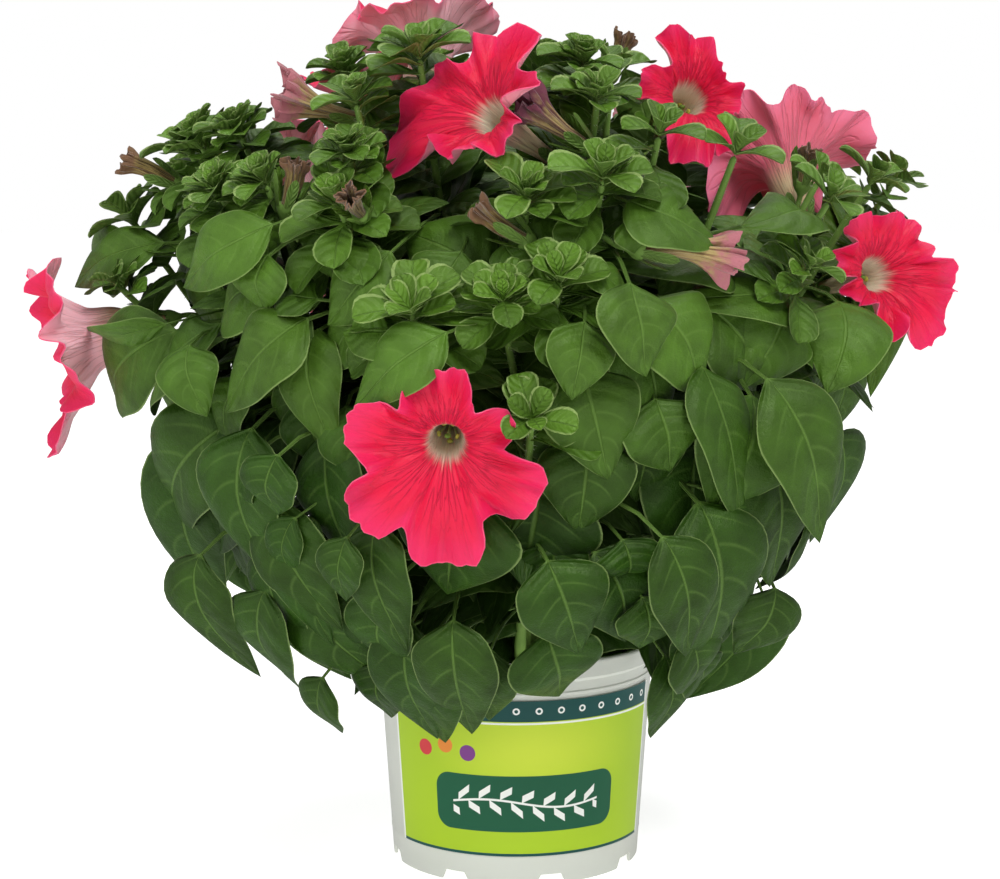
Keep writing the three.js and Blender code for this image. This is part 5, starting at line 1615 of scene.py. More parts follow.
@dataclass(frozen=True)
class LabelPrint:
    """The printed film: a dark band with rings over a lime field, and a plain panel with a leaf sprig.

    U runs along the wall from the label's left edge and V up from its lower edge, both from 0 to 1. The sizes
    are in millimetres.
    """

    name: str = "label_print"
    lime: Colour = colour(170, 204, 14)
    bright: Colour = colour(206, 226, 50)
    band: Colour = colour(4, 78, 74)
    panel: Colour = colour(10, 92, 60)
    white: Colour = colour(240, 242, 236)
    spots: tuple[Colour, ...] = (colour(214, 56, 62), colour(232, 138, 44), colour(128, 58, 140))
    length: float = 127.0
    height: float = 66.3
    border: float = 1.2
    band_width: float = 8.8
    line_top: float = 9.2  # the white line under the band, down from the label's upper edge
    line_foot: float = 10.0
    spot_left: float = 18.5
    spot_low: float = 43.5
    spot_step: float = 10.0
    spot_rise: float = 2.5
    spot_radius: float = 3.4
    spot_soft: float = 0.08
    glow_middle: tuple[float, float] = (66.0, 44.0)
    glow_reach: tuple[float, float] = (44.0, 26.0)
    panel_middle: tuple[float, float] = (63.0, 22.5)
    panel_straight: tuple[float, float] = (33.0, 5.5)
    panel_round: float = 6.5
    sprig_start: float = 31.5
    sprig_length: float = 63.0
    pitch: float = 9.0  # from leaf to leaf of the sprig, and from ring to ring
    leaf_reach: float = 3.3
    leaf_width: float = 2.4
    ring_drop: float = 4.3
    ring_radius: float = 1.1
    ring_line: float = 0.35
    ring_soft: float = 0.07

    def material(self) -> bpy.types.Material:
        """The print."""
        r = Recipe(self.name)
        u, v = r.uv()
        x, y = r.times(u, self.length), r.times(v, self.height)
        base = r.mix(self._glow(r, x, y), self.lime, self.bright)
        base = r.mix(self._panel(r, x, y), base, self.panel)
        base = r.mix(self._sprig(r, x, y), base, self.white)
        for index, paint in enumerate(self.spots):
            left, low = self.spot_left + self.spot_step * index, self.spot_low + self.spot_rise * (index % 2)
            base = r.mix(self._spot(r, x, y, left, low), base, paint)
        base = r.mix(self._above(r, y, self.height - self.band_width), base, self.band)
        line = r.times(self._above(r, y, self.height - self.line_foot),
                       self._below(r, y, self.height - self.line_top))
        base = r.mix(line, base, self.white)
        base = r.mix(self._rings(r, x, y), base, self.white)
        base = r.mix(self._below(r, y, self.border), base, self.band)
        left, right = self._below(r, x, self.border), self._above(r, x, self.length - self.border)
        base = r.mix(r.math("MAXIMUM", left, right), base, self.white)
        r.bump(r.noise(r.place(), 1500, 1), 0.03, 0.4)
        return r.finish(Base_Color=base, Roughness=0.34, Specular_IOR_Level=0.5)

    @staticmethod
    def _above(r: Recipe, value: Socket, limit: float, soft: float = PRINT_EDGE) -> Socket:
        """One where the value is above a limit, with a soft edge."""
        return r.eased(value, limit - soft, limit + soft)

    @staticmethod
    def _below(r: Recipe, value: Socket, limit: float, soft: float = PRINT_EDGE) -> Socket:
        """One where the value is below a limit, with a soft edge."""
        return r.eased(value, limit + soft, limit - soft)

    def _glow(self, r: Recipe, x: Socket, y: Socket) -> Socket:
        """A lighter patch near the top of the field."""
        dx, dy = (
            r.times(r.minus(value, middle), 1 / reach)
            for value, middle, reach in zip((x, y), self.glow_middle, self.glow_reach)
        )
        return r.eased(r.reach(dx, dy), 1.2, 0.0)

    def _spot(self, r: Recipe, x: Socket, y: Socket, left: float, low: float) -> Socket:
        """A round spot."""
        return self._below(r, r.reach(r.minus(x, left), r.minus(y, low)), self.spot_radius, self.spot_soft)

    def _panel(self, r: Recipe, x: Socket, y: Socket) -> Socket:
        """A round-ended dark panel."""
        dx, dy = (
            r.math("MAXIMUM", r.minus(r.apart(value, middle), straight), 0.0)
            for value, middle, straight in zip((x, y), self.panel_middle, self.panel_straight)
        )
        return self._below(r, r.reach(dx, dy), self.panel_round)

    def _cell(self, r: Recipe, along: Socket) -> Socket:
        """Place in a repeat of the pitch, -0.5 to 0.5."""
        return r.minus(r.math("FRACT", r.times(along, 1 / self.pitch)), 0.5)

    def _sprig(self, r: Recipe, x: Socket, y: Socket) -> Socket:
        """A white sprig of leaves along the panel."""
        along = r.minus(x, self.sprig_start)
        spine = r.times(r.math("SINE", r.times(along, 0.1)), 1.8)
        rise = r.minus(r.minus(y, self.panel_middle[1]), spine)
        inside = r.times(r.math("GREATER_THAN", along, 0.0), r.math("LESS_THAN", along, self.sprig_length))
        off = r.math("ABSOLUTE", rise)
        stem = self._below(r, off, 0.45)
        shifted = r.minus(along, r.times(off, 0.8))
        shifted = r.plus(shifted, r.times(r.math("SIGN", rise), self.pitch / 4))
        width = r.times(r.math("ABSOLUTE", self._cell(r, shifted)), self.pitch)
        bulge = r.minus(1.0, r.apart(r.times(off, 1 / self.leaf_reach), 1.0))
        leaf = self._above(r, r.minus(r.times(bulge, self.leaf_width), width), PRINT_EDGE)
        return r.times(r.math("MAXIMUM", stem, leaf), inside)

    def _rings(self, r: Recipe, x: Socket, y: Socket) -> Socket:
        """A row of small rings in the dark band."""
        reach = r.reach(r.times(self._cell(r, x), self.pitch), r.minus(y, self.height - self.ring_drop))
        return self._below(r, r.apart(reach, self.ring_radius), self.ring_line, self.ring_soft)


# ---- Pot, label and soil -----------------------------------------------------------------------------


def carried(piece: bpy.types.Object, slot: str, *nodes: str) -> bpy.types.Object:
    """Puts a finished piece on the object's one body.

    Args:
        piece: The piece.
        slot: Its material slot in the record. It is not used.
        nodes: The solids that it stands for.

    Returns:
        The piece.
    """
    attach(piece, "root")
    if nodes:
        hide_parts(*nodes)
    LOG.info("%s: %d faces", piece.name, len(piece.data.polygons))
    return piece


@dataclass
class NurseryPot:
    """A thin-walled pot with a rolled collar, notches round its foot and drain holes."""

    foot_radius: float = 52.5
    shoulder_radius: float = 58.4
    collar_radius: float = 60.9
    collar_height: float = 8.5
    wall: float = 1.4
    floor_low: float = 5.0
    floor_thick: float = 1.6
    pad_radius: float = 12.0
    notch_count: int = 8
    notch_turn: float = 16.0
    notch_width: float = 13.0
    notch_height: float = 4.2
    drain_count: int = 4
    drain_radius: float = 4.0
    drain_ring: float = 30.0
    plain_turns: int = 216
    step_height: float = 12.0  # a faint step round the wall, under the label
    bead_height: float = 81.5  # a faint bead above it

    def outer(self, height: float) -> float:
        """Radius of the outer wall at a height."""
        return self.foot_radius + (self.shoulder_radius - self.foot_radius) * height / (
            POT_HEIGHT - self.collar_height
        )

    def inner(self, height: float) -> float:
        """Radius of the inner wall at a height."""
        return self.outer(height) - self.wall

    def _azimuths(self) -> np.ndarray:
        """Azimuths of the wall's columns, with the notches' corners among them."""
        half = math.degrees(self.notch_width / 2 / self.foot_radius)
        middles = [self.notch_turn + 360 / self.notch_count * i for i in range(self.notch_count)]
        shares = (-1.0, -0.97, -0.7, -0.64, 0.64, 0.7, 0.97, 1.0)
        corners = [middle + half * share for middle in middles for share in shares]
        even = np.linspace(0, 360, self.plain_turns, endpoint=False)
        return np.unique(np.round(np.concatenate([even, np.mod(corners, 360)]), 3))

    def _notch(self, azimuths: np.ndarray) -> np.ndarray:
        """Height of the foot's lower edge at each azimuth."""
        step = 360 / self.notch_count
        off = np.abs(np.mod(azimuths - self.notch_turn + step / 2, step) - step / 2)
        share = off / math.degrees(self.notch_width / 2 / self.foot_radius)
        return self.notch_height * (1 - np.clip((share - 0.68) / 0.3, 0, 1))

    def _outline(self) -> list[tuple[float, float]]:
        """The wall's section from the middle of the underside round to the middle of the floor."""
        inside = self.inner
        step, bead = self.step_height, self.bead_height
        shoulder = POT_HEIGHT - self.collar_height
        top, floor_top = POT_HEIGHT, self.floor_low + self.floor_thick
        collar = self.collar_radius
        return [
            (self.pad_radius * 0.5, 0), (self.pad_radius - 0.5, 0), (self.pad_radius + 0.2, 0.6),
            (self.pad_radius + 0.9, self.floor_low - 0.5), (self.pad_radius + 1.6, self.floor_low),
            (30, self.floor_low), (inside(4) - 0.6, self.floor_low), (inside(4), self.floor_low - 0.5),
            (inside(0.4), 0.4), (inside(0) + 0.3, 0), (self.foot_radius - 0.3, 0), (self.outer(0.35), 0.35),
            (self.outer(4.4), 4.4), (self.outer(step - 0.6), step - 0.6),
            (self.outer(step - 0.2) + 0.12, step - 0.3), (self.outer(step + 0.2) + 0.12, step + 0.2),
            (self.outer(step + 0.5), step + 0.5), (self.outer(40), 40),
            (self.outer(bead - 2), bead - 2), (self.outer(bead - 0.9), bead - 0.9),
            (self.outer(bead - 0.4) + 0.45, bead - 0.4), (self.outer(bead + 0.3) + 0.45, bead + 0.3),
            (self.outer(bead + 0.8), bead + 0.8), (self.outer(shoulder) - 0.1, shoulder - 0.5),
            (self.outer(shoulder) + 0.3, shoulder), (collar - 1.2, shoulder + 0.5),
            (collar - 0.55, shoulder + 1.2), (collar - 0.4, 90), (collar - 0.1, top - 1.6),
            (collar, top - 1.0), (collar - 0.2, top - 0.4), (collar - 0.7, top), (collar - 1.9, top),
            (collar - 2.5, top - 0.5), (collar - 3, top - 1.8), (inside(shoulder) + 0.1, shoulder + 0.4),
            (inside(shoulder - 1), shoulder - 1), (inside(60), 60), (inside(20), 20),
            (inside(floor_top + 2), floor_top + 2), (inside(floor_top) - 0.8, floor_top),
            (30, floor_top), (self.pad_radius * 0.5, floor_top),
        ]

    def build(self, material: bpy.types.Material) -> bpy.types.Object:
        """Builds the pot.

        Args:
            material: The plastic.

        Returns:
            The pot.
        """
        azimuths = self._azimuths()
        notch = self._notch(azimuths)
        turns = np.radians(azimuths)
        level = np.stack([np.sin(turns), -np.cos(turns), np.zeros_like(turns)], 1)
        rings = []
        for radius, height in self._outline():
            foot = radius > 45 and height < 4.5
            heights = np.maximum(height, notch + min(height, 0.4)) if foot else np.full_like(notch, height)
            radii = radius + (heights - height) * (self.outer(1) - self.outer(0)) if foot else radius
            rings.append(level * np.asarray(radii).reshape(-1, 1) + UP * heights[:, None])
        floor_top = self.floor_low + self.floor_thick
        skins = Skins()
        skins.add(np.array(rings), (np.zeros(3), UP * floor_top))
        pot = skins.piece("pot_body", [material], sharp=35)
        self._drill(pot)
        return carried(pot, "pot", "pot")

    def _drill(self, pot: bpy.types.Object) -> None:
        """Cuts the drain holes into the floor."""
        drills = Skins()
        for i in range(self.drain_count):
            centre = radial(45 + 360 / self.drain_count * i) * self.drain_ring
            heights = np.linspace(self.floor_low - 1, self.floor_low + self.floor_thick + 1, 3)
            line = centre + UP * heights[:, None]
            drills.add(tube_rings(line, self.drain_radius, 24, radial(0)), (line[0], line[-1]))
        drill = drills.piece("drill", [])
        cut = pot.modifiers.new("drains", "BOOLEAN")
        cut.operation, cut.solver, cut.object = "DIFFERENCE", "EXACT", drill
        bpy.context.view_layer.update()
        graph = bpy.context.evaluated_depsgraph_get()
        drilled = bpy.data.meshes.new_from_object(pot.evaluated_get(graph))
        pot.modifiers.remove(cut)
        pot.data = drilled
        bpy.data.objects.remove(drill)


@dataclass
class PotLabel:
    """The printed film round the front of the pot."""

    pot: NurseryPot
    low: float = 12.7
    high: float = 79.0
    start: float = -60.0
    end: float = 70.0
    lift: float = 0.35
    thickness: float = 0.3
    columns: int = 131
    rows: int = 12

    def build(self, printed: bpy.types.Material, edge: bpy.types.Material) -> bpy.types.Object:
        """Builds the label.

        Args:
            printed: The printed side.
            edge: The back and the cut edges.

        Returns:
            The label.
        """
        azimuths = np.radians(np.linspace(self.start, self.end, self.columns))
        heights = np.linspace(self.low, self.high, self.rows)
        outward = np.stack([np.sin(azimuths), -np.cos(azimuths), np.zeros_like(azimuths)], 1)
        radii = np.array([self.pot.outer(height) for height in heights])

        def wall(lift: float) -> np.ndarray:
            """A sheet round the pot, lifted off its wall."""
            face = outward[:, None] * (radii + lift)[None, :, None]
            return face + UP * heights[None, :, None]

        front, back = wall(self.lift + self.thickness), wall(self.lift)
        rings = np.concatenate([front, back[:, ::-1]], axis=1)
        share = np.linspace(0, 1, self.rows)
        finish = np.ones((self.columns + 1, 2 * self.rows), int)
        finish[1:-1, : self.rows - 1] = 0
        skins = Skins()
        skins.add(
            rings,
            (rings[0].mean(0), rings[-1].mean(0)),
            np.concatenate([share, share[::-1], [0]]),
            np.concatenate([[0], np.linspace(0, 1, self.columns), [1]]),
            finish,
        )
        label = skins.piece("label_film", [printed, edge], sharp=40)
        layer = label.data.uv_layers[0]
        flat = np.zeros(len(label.data.loops) * 2, np.float32)
        layer.uv.foreach_get("vector", flat)
        layer.uv.foreach_set("vector", flat.reshape(-1, 2)[:, ::-1].ravel())
        return carried(label, "label", "label")


def realised(piece: bpy.types.Object, tree: bpy.types.NodeTree, values: dict[str, object]) -> bpy.types.Mesh:
    """Runs a node tree on a piece.

    Args:
        piece: The piece that the tree works on.
        tree: The tree, which ends in plain geometry.
        values: Its inputs by name.

    Returns:
        The tree's result as a plain mesh. The piece is left as it was.
    """
    modifier = piece.modifiers.new(tree.name, "NODES")
    modifier.node_group = tree
    for item in tree.interface.items_tree:
        if item.item_type == "SOCKET" and item.in_out == "INPUT" and item.name in values:
            modifier[item.identifier] = values[item.name]
    bpy.context.view_layer.update()
    graph = bpy.context.evaluated_depsgraph_get()
    mesh = bpy.data.meshes.new_from_object(piece.evaluated_get(graph))
    piece.modifiers.remove(modifier)
    return mesh


@dataclass
class Scatter:
    """A node tree that scatters one small shape over a surface, such as hairs or crumbs."""

    name: str
    material: bpy.types.Material
    inputs: dict[str, tuple[str, float | int]] = field(default_factory=dict)

    def _start(self) -> tuple[bpy.types.NodeTree, bpy.types.Node, bpy.types.Node]:
        """A tree with its named inputs, and its two ends."""
        tree = bpy.data.node_groups.new(self.name, "GeometryNodeTree")
        tree.interface.new_socket("Geometry", in_out="INPUT", socket_type="NodeSocketGeometry")
        for name, (kind, default) in self.inputs.items():
            socket = tree.interface.new_socket(name, in_out="INPUT", socket_type=kind)
            socket.default_value = default
        tree.interface.new_socket("Geometry", in_out="OUTPUT", socket_type="NodeSocketGeometry")
        return tree, tree.nodes.new("NodeGroupInput"), tree.nodes.new("NodeGroupOutput")

    def tree(self, shape: str, settings: dict[str, object], lean: float) -> bpy.types.NodeTree:
        """Builds the tree.

        Args:
            shape: Type of the node that makes the small shape.
            settings: Values of that node's inputs, or names of the tree's inputs as @Name.
            lean: How far the shapes may lean from the surface's own direction, in radians.

        Returns:
            The node tree.
        """
        tree, start, end = self._start()
        link = tree.links.new
        spread = tree.nodes.new("GeometryNodeDistributePointsOnFaces")
        link(start.outputs["Geometry"], spread.inputs["Mesh"])
        link(start.outputs["Density"], spread.inputs["Density"])
        link(start.outputs["Seed"], spread.inputs["Seed"])
        made = tree.nodes.new(shape)
        for name, value in settings.items():
            if isinstance(value, str) and value.startswith("@"):
                link(start.outputs[value[1:]], made.inputs[name])
            else:
                made.inputs[name].default_value = value
        lean_by = tree.nodes.new("FunctionNodeRandomValue")
        lean_by.data_type = "FLOAT_VECTOR"
        lean_by.inputs[0].default_value = (-lean, -lean, -math.pi)
        lean_by.inputs[1].default_value = (lean, lean, math.pi)
        link(start.outputs["Seed"], lean_by.inputs["Seed"])
        turned = tree.nodes.new("FunctionNodeRotateRotation")
        turned.rotation_space = "LOCAL"
        link(spread.outputs["Rotation"], turned.inputs[0])
        link(lean_by.outputs[0], turned.inputs[1])
        grow = tree.nodes.new("FunctionNodeRandomValue")
        grow.inputs[2].default_value = 0.45
        grow.inputs[3].default_value = 1.15
        link(start.outputs["Seed"], grow.inputs["Seed"])
        copy = tree.nodes.new("GeometryNodeInstanceOnPoints")
        link(spread.outputs["Points"], copy.inputs["Points"])
        link(made.outputs["Mesh"], copy.inputs["Instance"])
        link(turned.outputs[0], copy.inputs["Rotation"])
        link(grow.outputs[1], copy.inputs["Scale"])
        real = tree.nodes.new("GeometryNodeRealizeInstances")
        paint = tree.nodes.new("GeometryNodeSetMaterial")
        paint.inputs["Material"].default_value = self.material
        link(copy.outputs[0], real.inputs[0])
        link(real.outputs[0], paint.inputs[0])
        link(paint.outputs[0], end.inputs[0])
        return tree


@dataclass
class PottingSoil:
    """Rough soil that fills the pot, with crumbs on its surface."""

    pot: NurseryPot
    rings: int = 34
    columns: int = 120
    roughness: float = 1.1
    crumb_density: float = 190000.0
    crumb_radius: float = 0.00105
    seed: int = 11
    rim_gap: float = 2.0  # from the crumbs to the soil's edge
    top_sides: int = 48

    def build(self, soil: bpy.types.Material, crumb: bpy.types.Material) -> None:
        """Builds the soil and its crumbs.

        Args:
            soil: Material of the soil.
            crumb: Material of the crumbs.
        """
        draw = np.random.default_rng(self.seed)
        turns = np.linspace(0, 2 * math.pi, self.columns, endpoint=False)
        phases = draw.uniform(0, 2 * math.pi, 12)
        edge = self.pot.inner(SOIL_EDGE) - GAP
        floor = self.pot.floor_low + self.pot.floor_thick + GAP
        rows = [(edge * 0.4, floor), (self.pot.inner(floor) - GAP, floor), (edge, SOIL_EDGE)]
        shares = np.linspace(0.985, 0.04, self.rings)
        rows += [(edge * s, SOIL_EDGE + (SOIL_MIDDLE - SOIL_EDGE) * min(1, (1 - s) * 2)) for s in shares]
        sheet = []
        for i, (radius, height) in enumerate(rows):
            rough = np.zeros_like(turns)
            if i > 2:
                for k in range(6):
                    rough += np.sin((2 + 3 * k) * turns + phases[k] + radius * (0.2 + 0.11 * k)) / (2 + k)
                rough += draw.uniform(-0.45, 0.45, len(turns))
                rough = rough * self.roughness * eased(edge - radius, 0.0, 3.0) - 0.5
            sheet.append(np.stack([radius * np.cos(turns), radius * np.sin(turns), height + rough], 1))
        skins = Skins()
        skins.add(np.array(sheet), (UP * floor, UP * SOIL_MIDDLE))
        bed = skins.piece("soil_bed", [soil], sharp=180)
        scatter = Scatter("soil_crumbs", crumb, {
            "Density": ("NodeSocketFloat", 1000.0),
            "Radius": ("NodeSocketFloat", 0.001),
            "Seed": ("NodeSocketInt", 0),
        })
        tree = scatter.tree("GeometryNodeMeshIcoSphere", {"Radius": "@Radius", "Subdivisions": 1}, 1.5)
        top = self._top(edge)
        crumbs = realised(top, tree, {
            "Density": self.crumb_density, "Radius": self.crumb_radius, "Seed": self.seed,
        })
        bpy.data.objects.remove(top)
        piece = put("soil_crumbs", crumbs)
        carried(bed, "soil", "soil")
        carried(piece, "soil")

    def _top(self, edge: float) -> bpy.types.Object:
        """A disc on the soil's surface for the crumbs to lie on."""
        mesh = bpy.data.meshes.new("soil_top")
        sides, reach, height = self.top_sides, edge - self.rim_gap, (SOIL_EDGE + 0.2) * METRES
        turns = np.linspace(0, 2 * math.pi, sides, endpoint=False)
        ring = [(reach * math.cos(turn) * METRES, reach * math.sin(turn) * METRES, height) for turn in turns]
        fan = [(0, i + 1, (i + 1) % sides + 1) for i in range(sides)]
        mesh.from_pydata([(0, 0, SOIL_MIDDLE * METRES), *ring], [], fan)
        return put("soil_top", mesh)


# ---- Stems -------------------------------------------------------------------------------------------


class Part(Enum):
    """The materials of a leafy stem, in their order."""

    UPPER_SIDE = 0
    UNDERSIDE = 1
    STEM = 2


@dataclass
class LeafyStem:
    """A stem with its forks, large leaves, rosettes, flower stalks and calyxes."""

    plan: PlantPlan
    stem: StemPlan
    root_radius: float = 2.5
    tip_radius: float = 1.25
    fork_radius: float = 1.8
    sides: int = 10
    steps: int = 26
    fill_spacing: float = 11.0
    pot_room: float = 5.0  # kept above the pot's rim
    pot_reach: float = 66.0  # outside of this radius a leaf may hang beside the pot
    lowest: float = 66.0
    gap_top: float = 112.0  # below it, a gap in the leaves shows the collar at the front
    gap_sides: tuple[float, float] = (-22.0, 52.0)
    gap_front: float = -40.0

    def build(self, materials: Sequence[bpy.types.Material]) -> bpy.types.Object:
        """Builds the stem in one piece, as it grew.

        Args:
            materials: Materials in the order of Part.

        Returns:
            The stem.
        """
        skins = Skins()
        draw = np.random.default_rng(100 + self.stem.index)
        for i in range(len(self.stem.tips)):
            self._branch(skins, i)
            self._rosette(skins, i, draw)
            self._inner_leaves(skins, i, draw)
        for stalk in self.plan.stalks[self.stem.name]:
            self._stalk(skins, stalk, draw)
        for blade in self.plan.blades[self.stem.name]:
            blade.add_to(skins)
            self._twin(skins, blade, draw)
        piece = skins.piece(f"leafy_{self.stem.name}", materials)
        return carried(piece, "leaf", self.stem.name)

    def line(self, index: int) -> np.ndarray:
        """Points along a branch, from inside the soil or the main branch to its tip."""
        line = cubic(self.stem.branches[index], np.linspace(0, 1, self.steps))
        return line if index else np.concatenate([[self.stem.foot], line])

    def _radii(self, index: int, count: int) -> np.ndarray:
        """Radius at each point of a branch."""
        start = self.fork_radius if index else self.root_radius
        return start + (self.tip_radius - start) * np.linspace(0, 1, count)

    def _branch(self, skins: Skins, index: int) -> None:
        """Adds the bare branch, slightly swollen here and there."""
        line = self.line(index)
        swelling = np.maximum(np.sin(np.arange(len(line)) * 1.9), 0) ** 3
        radii = self._radii(index, len(line)) * (1 + 0.08 * swelling)
        tip = self.stem.tips[index]
        skins.add(
            tube_rings(line, radii, self.sides, self.stem.out), (line[0], tip.point + tip.axis * 1.5),
            level_map=np.linspace(0, 8, len(line) + 2), finish=Part.STEM.value,
        )

    def _rosette(self, skins: Skins, index: int, draw: np.random.Generator) -> None:
        """Adds the rosette at a tip: its solid leaves, a bud inside them and whorls below."""
        tip = self.stem.tips[index]
        for leaf in self.plan.young_leaves(self.stem, index):
            root, control, end = leaf.spine
            short = draw.uniform(0.74, 0.92)
            leaf.spine = (root, root + (control - root) * short, root + (end - root) * short)
            leaf.half_width *= short * 1.08
            leaf.age += 0.1 * draw.uniform(-1, 1)
            leaf.add_to(skins)
        start = draw.uniform(0, 360)
        for count, opening, length, lift, age, width in WHORLS:
            start += 37
            for k in range(count):
                turn = start + 360 / count * k + draw.uniform(-9, 9)
                leaf = rosette_leaf(
                    tip, turn, opening + draw.uniform(-7, 7),
                    tip.leaf_length * length * draw.uniform(0.88, 1.08),
                    lift, age + draw.uniform(-0.05, 0.08), draw.uniform(0, 1), width,
                )
                if self._fits(leaf, 1.07):
                    leaf.add_to(skins)

    def _fits(self, leaf: Blade, layer: float) -> bool:
        """Whether a leaf keeps inside a layer of the crown and clear of pot, blooms and the collar's gap."""
        end = leaf.spine[2]
        for point in (end, leaf.at(0.5)):
            if point[2] <= POT_HEIGHT + self.pot_room and math.hypot(point[0], point[1]) <= self.pot_reach:
                return False
        if end[2] <= self.lowest or crown_layer(end) >= layer:
            return False
        left, right = self.gap_sides
        if end[2] < self.gap_top and left < end[0] < right and end[1] < self.gap_front:
            return False
        return not self.plan.room.blocked(leaf.probes())

    def _inner_leaves(self, skins: Skins, index: int, draw: np.random.Generator) -> None:
        """Adds pairs of leaves along a branch, which fill the crown behind its outer leaves."""
        line = self.line(index)
        lengths = np.concatenate([[0], np.cumsum(np.linalg.norm(np.diff(line, axis=0), axis=1))])
        turn = draw.uniform(0, 360)
        place = 34.0 if index == 0 else 14.0
        while place < lengths[-1] - 9:
            point = np.array([np.interp(place, lengths, line[:, axis]) for axis in range(3)])
            ahead = np.array([np.interp(place + 2, lengths, line[:, axis]) for axis in range(3)])
            axis = unit(ahead - point)
            share = place / lengths[-1]
            for side in (0, 180):
                self._inner_leaf(skins, Tip(point, axis, 0, 0), turn + side, share, draw)
            turn += 97
            place += self.fill_spacing * draw.uniform(0.85, 1.15)

    def _inner_leaf(
        self, skins: Skins, seat: Tip, turn: float, share: float, draw: np.random.Generator
    ) -> None:
        """Adds one leaf of a pair.

        Args:
            skins: Where to add it.
            seat: Its place on the branch.
            turn: Its turn round the branch.
            share: Its place along the branch, 0 to 1.
            draw: Draws for its shape.
        """
        low = min(max((245 - seat.point[2]) / 90, 0.0), 1.0)
        length = draw.uniform(36, 48) * (1.05 - 0.3 * share) * (1 + 0.15 * low)
        wide = math.radians(draw.uniform(58, 84))
        out = seat.out(turn + draw.uniform(-20, 20))
        steep = wide - 0.35
        middle = seat.point + (seat.axis * math.cos(steep) + out * math.sin(steep)) * length * 0.55
        end = seat.point + (seat.axis * math.cos(wide) + out * math.sin(wide)) * length
        end = end - UP * length * (0.12 + 0.4 * low)
        azimuth = math.degrees(math.atan2(end[0], -end[1]))
        look = unit(outlook(azimuth, end[2]) + (seat.axis * 0.8 + UP * 0.4) * (1 - 0.8 * low))
        leaf = Blade(
            INNER_LEAF, (seat.point, middle, end), look, length * draw.uniform(0.29, 0.35),
            roll=draw.uniform(-25, 25), age=1.05 - 0.45 * share, tint=draw.uniform(0, 1),
        )
        if self._fits(leaf, 0.965):
            leaf.add_to(skins)

    def _twin(self, skins: Skins, blade: Blade, draw: np.random.Generator) -> None:
        """Adds the leaf that shares a large leaf's joint and lies half behind it."""
        east = math.degrees(math.atan2(blade.spine[2][0], -blade.spine[2][1]))
        sides = draw.permutation([-1, 1]) if abs(east) < 35 or abs(east) > 120 else [-np.sign(east)]
        for side in sides:
            turn = math.radians(side * draw.uniform(9, 16))
            cosine, sine = math.cos(turn), math.sin(turn)
            spin = np.array([[cosine, -sine, 0], [sine, cosine, 0], [0, 0, 1]])
            sink = np.array([0.93, 0.93, 1.0])
            lift = UP * draw.uniform(-6, 16)
            start, control, end = blade.spine
            spine = (start, spin @ control * sink + lift, spin @ end * sink + lift)
            twin = replace(
                blade, spine=spine, look=spin @ blade.look, tint=draw.uniform(0, 1),
                roll=draw.uniform(-15, 15), age=min(blade.age + 0.1, 1.0),
                half_width=blade.half_width * draw.uniform(0.85, 1.0),
            )
            if self._fits(twin, 1.0):
                twin.add_to(skins)
                return

    def _stalk(self, skins: Skins, stalk: Stalk, draw: np.random.Generator) -> None:
        """Adds a flower stalk, its calyx cup and five narrow sepals."""
        curve, axes, seat = stalk.curve, stalk.axes, stalk.seat
        line = cubic(curve, np.linspace(0, 1, 14))
        cup = [(-5.0, 1.7), (-3.8, 2.7), (-2.2, 3.7), (-0.8, 4.1), (0.3, 4.0), (0.5, 3.3)]
        points = np.concatenate([line, [seat + axes.forward * forward for forward, _ in cup]])
        radii = np.concatenate([np.full(len(line), 1.1), [radius for _, radius in cup]])
        radii[0] = 1.5
        skins.add(
            tube_rings(points, radii, self.sides, axes.down), (line[0], seat - axes.forward * 0.2),
            level_map=np.linspace(0, 3, len(points) + 2), finish=Part.STEM.value,
        )
        for k in range(5):
            angle = np.array(2 * math.pi * k / 5 + draw.uniform(-0.08, 0.08))
            reach = draw.uniform(6.6, 8.2)
            length = draw.uniform(11.5, 13.2)
            knots = ((-1.6, 3.2), (length * 0.5, 5.2), (length, reach))
            spine = tuple(axes.ring(seat, np.array(ahead), np.array(wide), angle) for ahead, wide in knots)
            inward = seat + axes.forward * 30 - spine[1]
            sepal = Blade(SEPAL, spine, unit(inward), 2.1, age=0.4, tint=draw.uniform(0.3, 0.8))
            sepal.add_to(skins)


# ---- Blooms ------------------------------------------------------------------------------------------


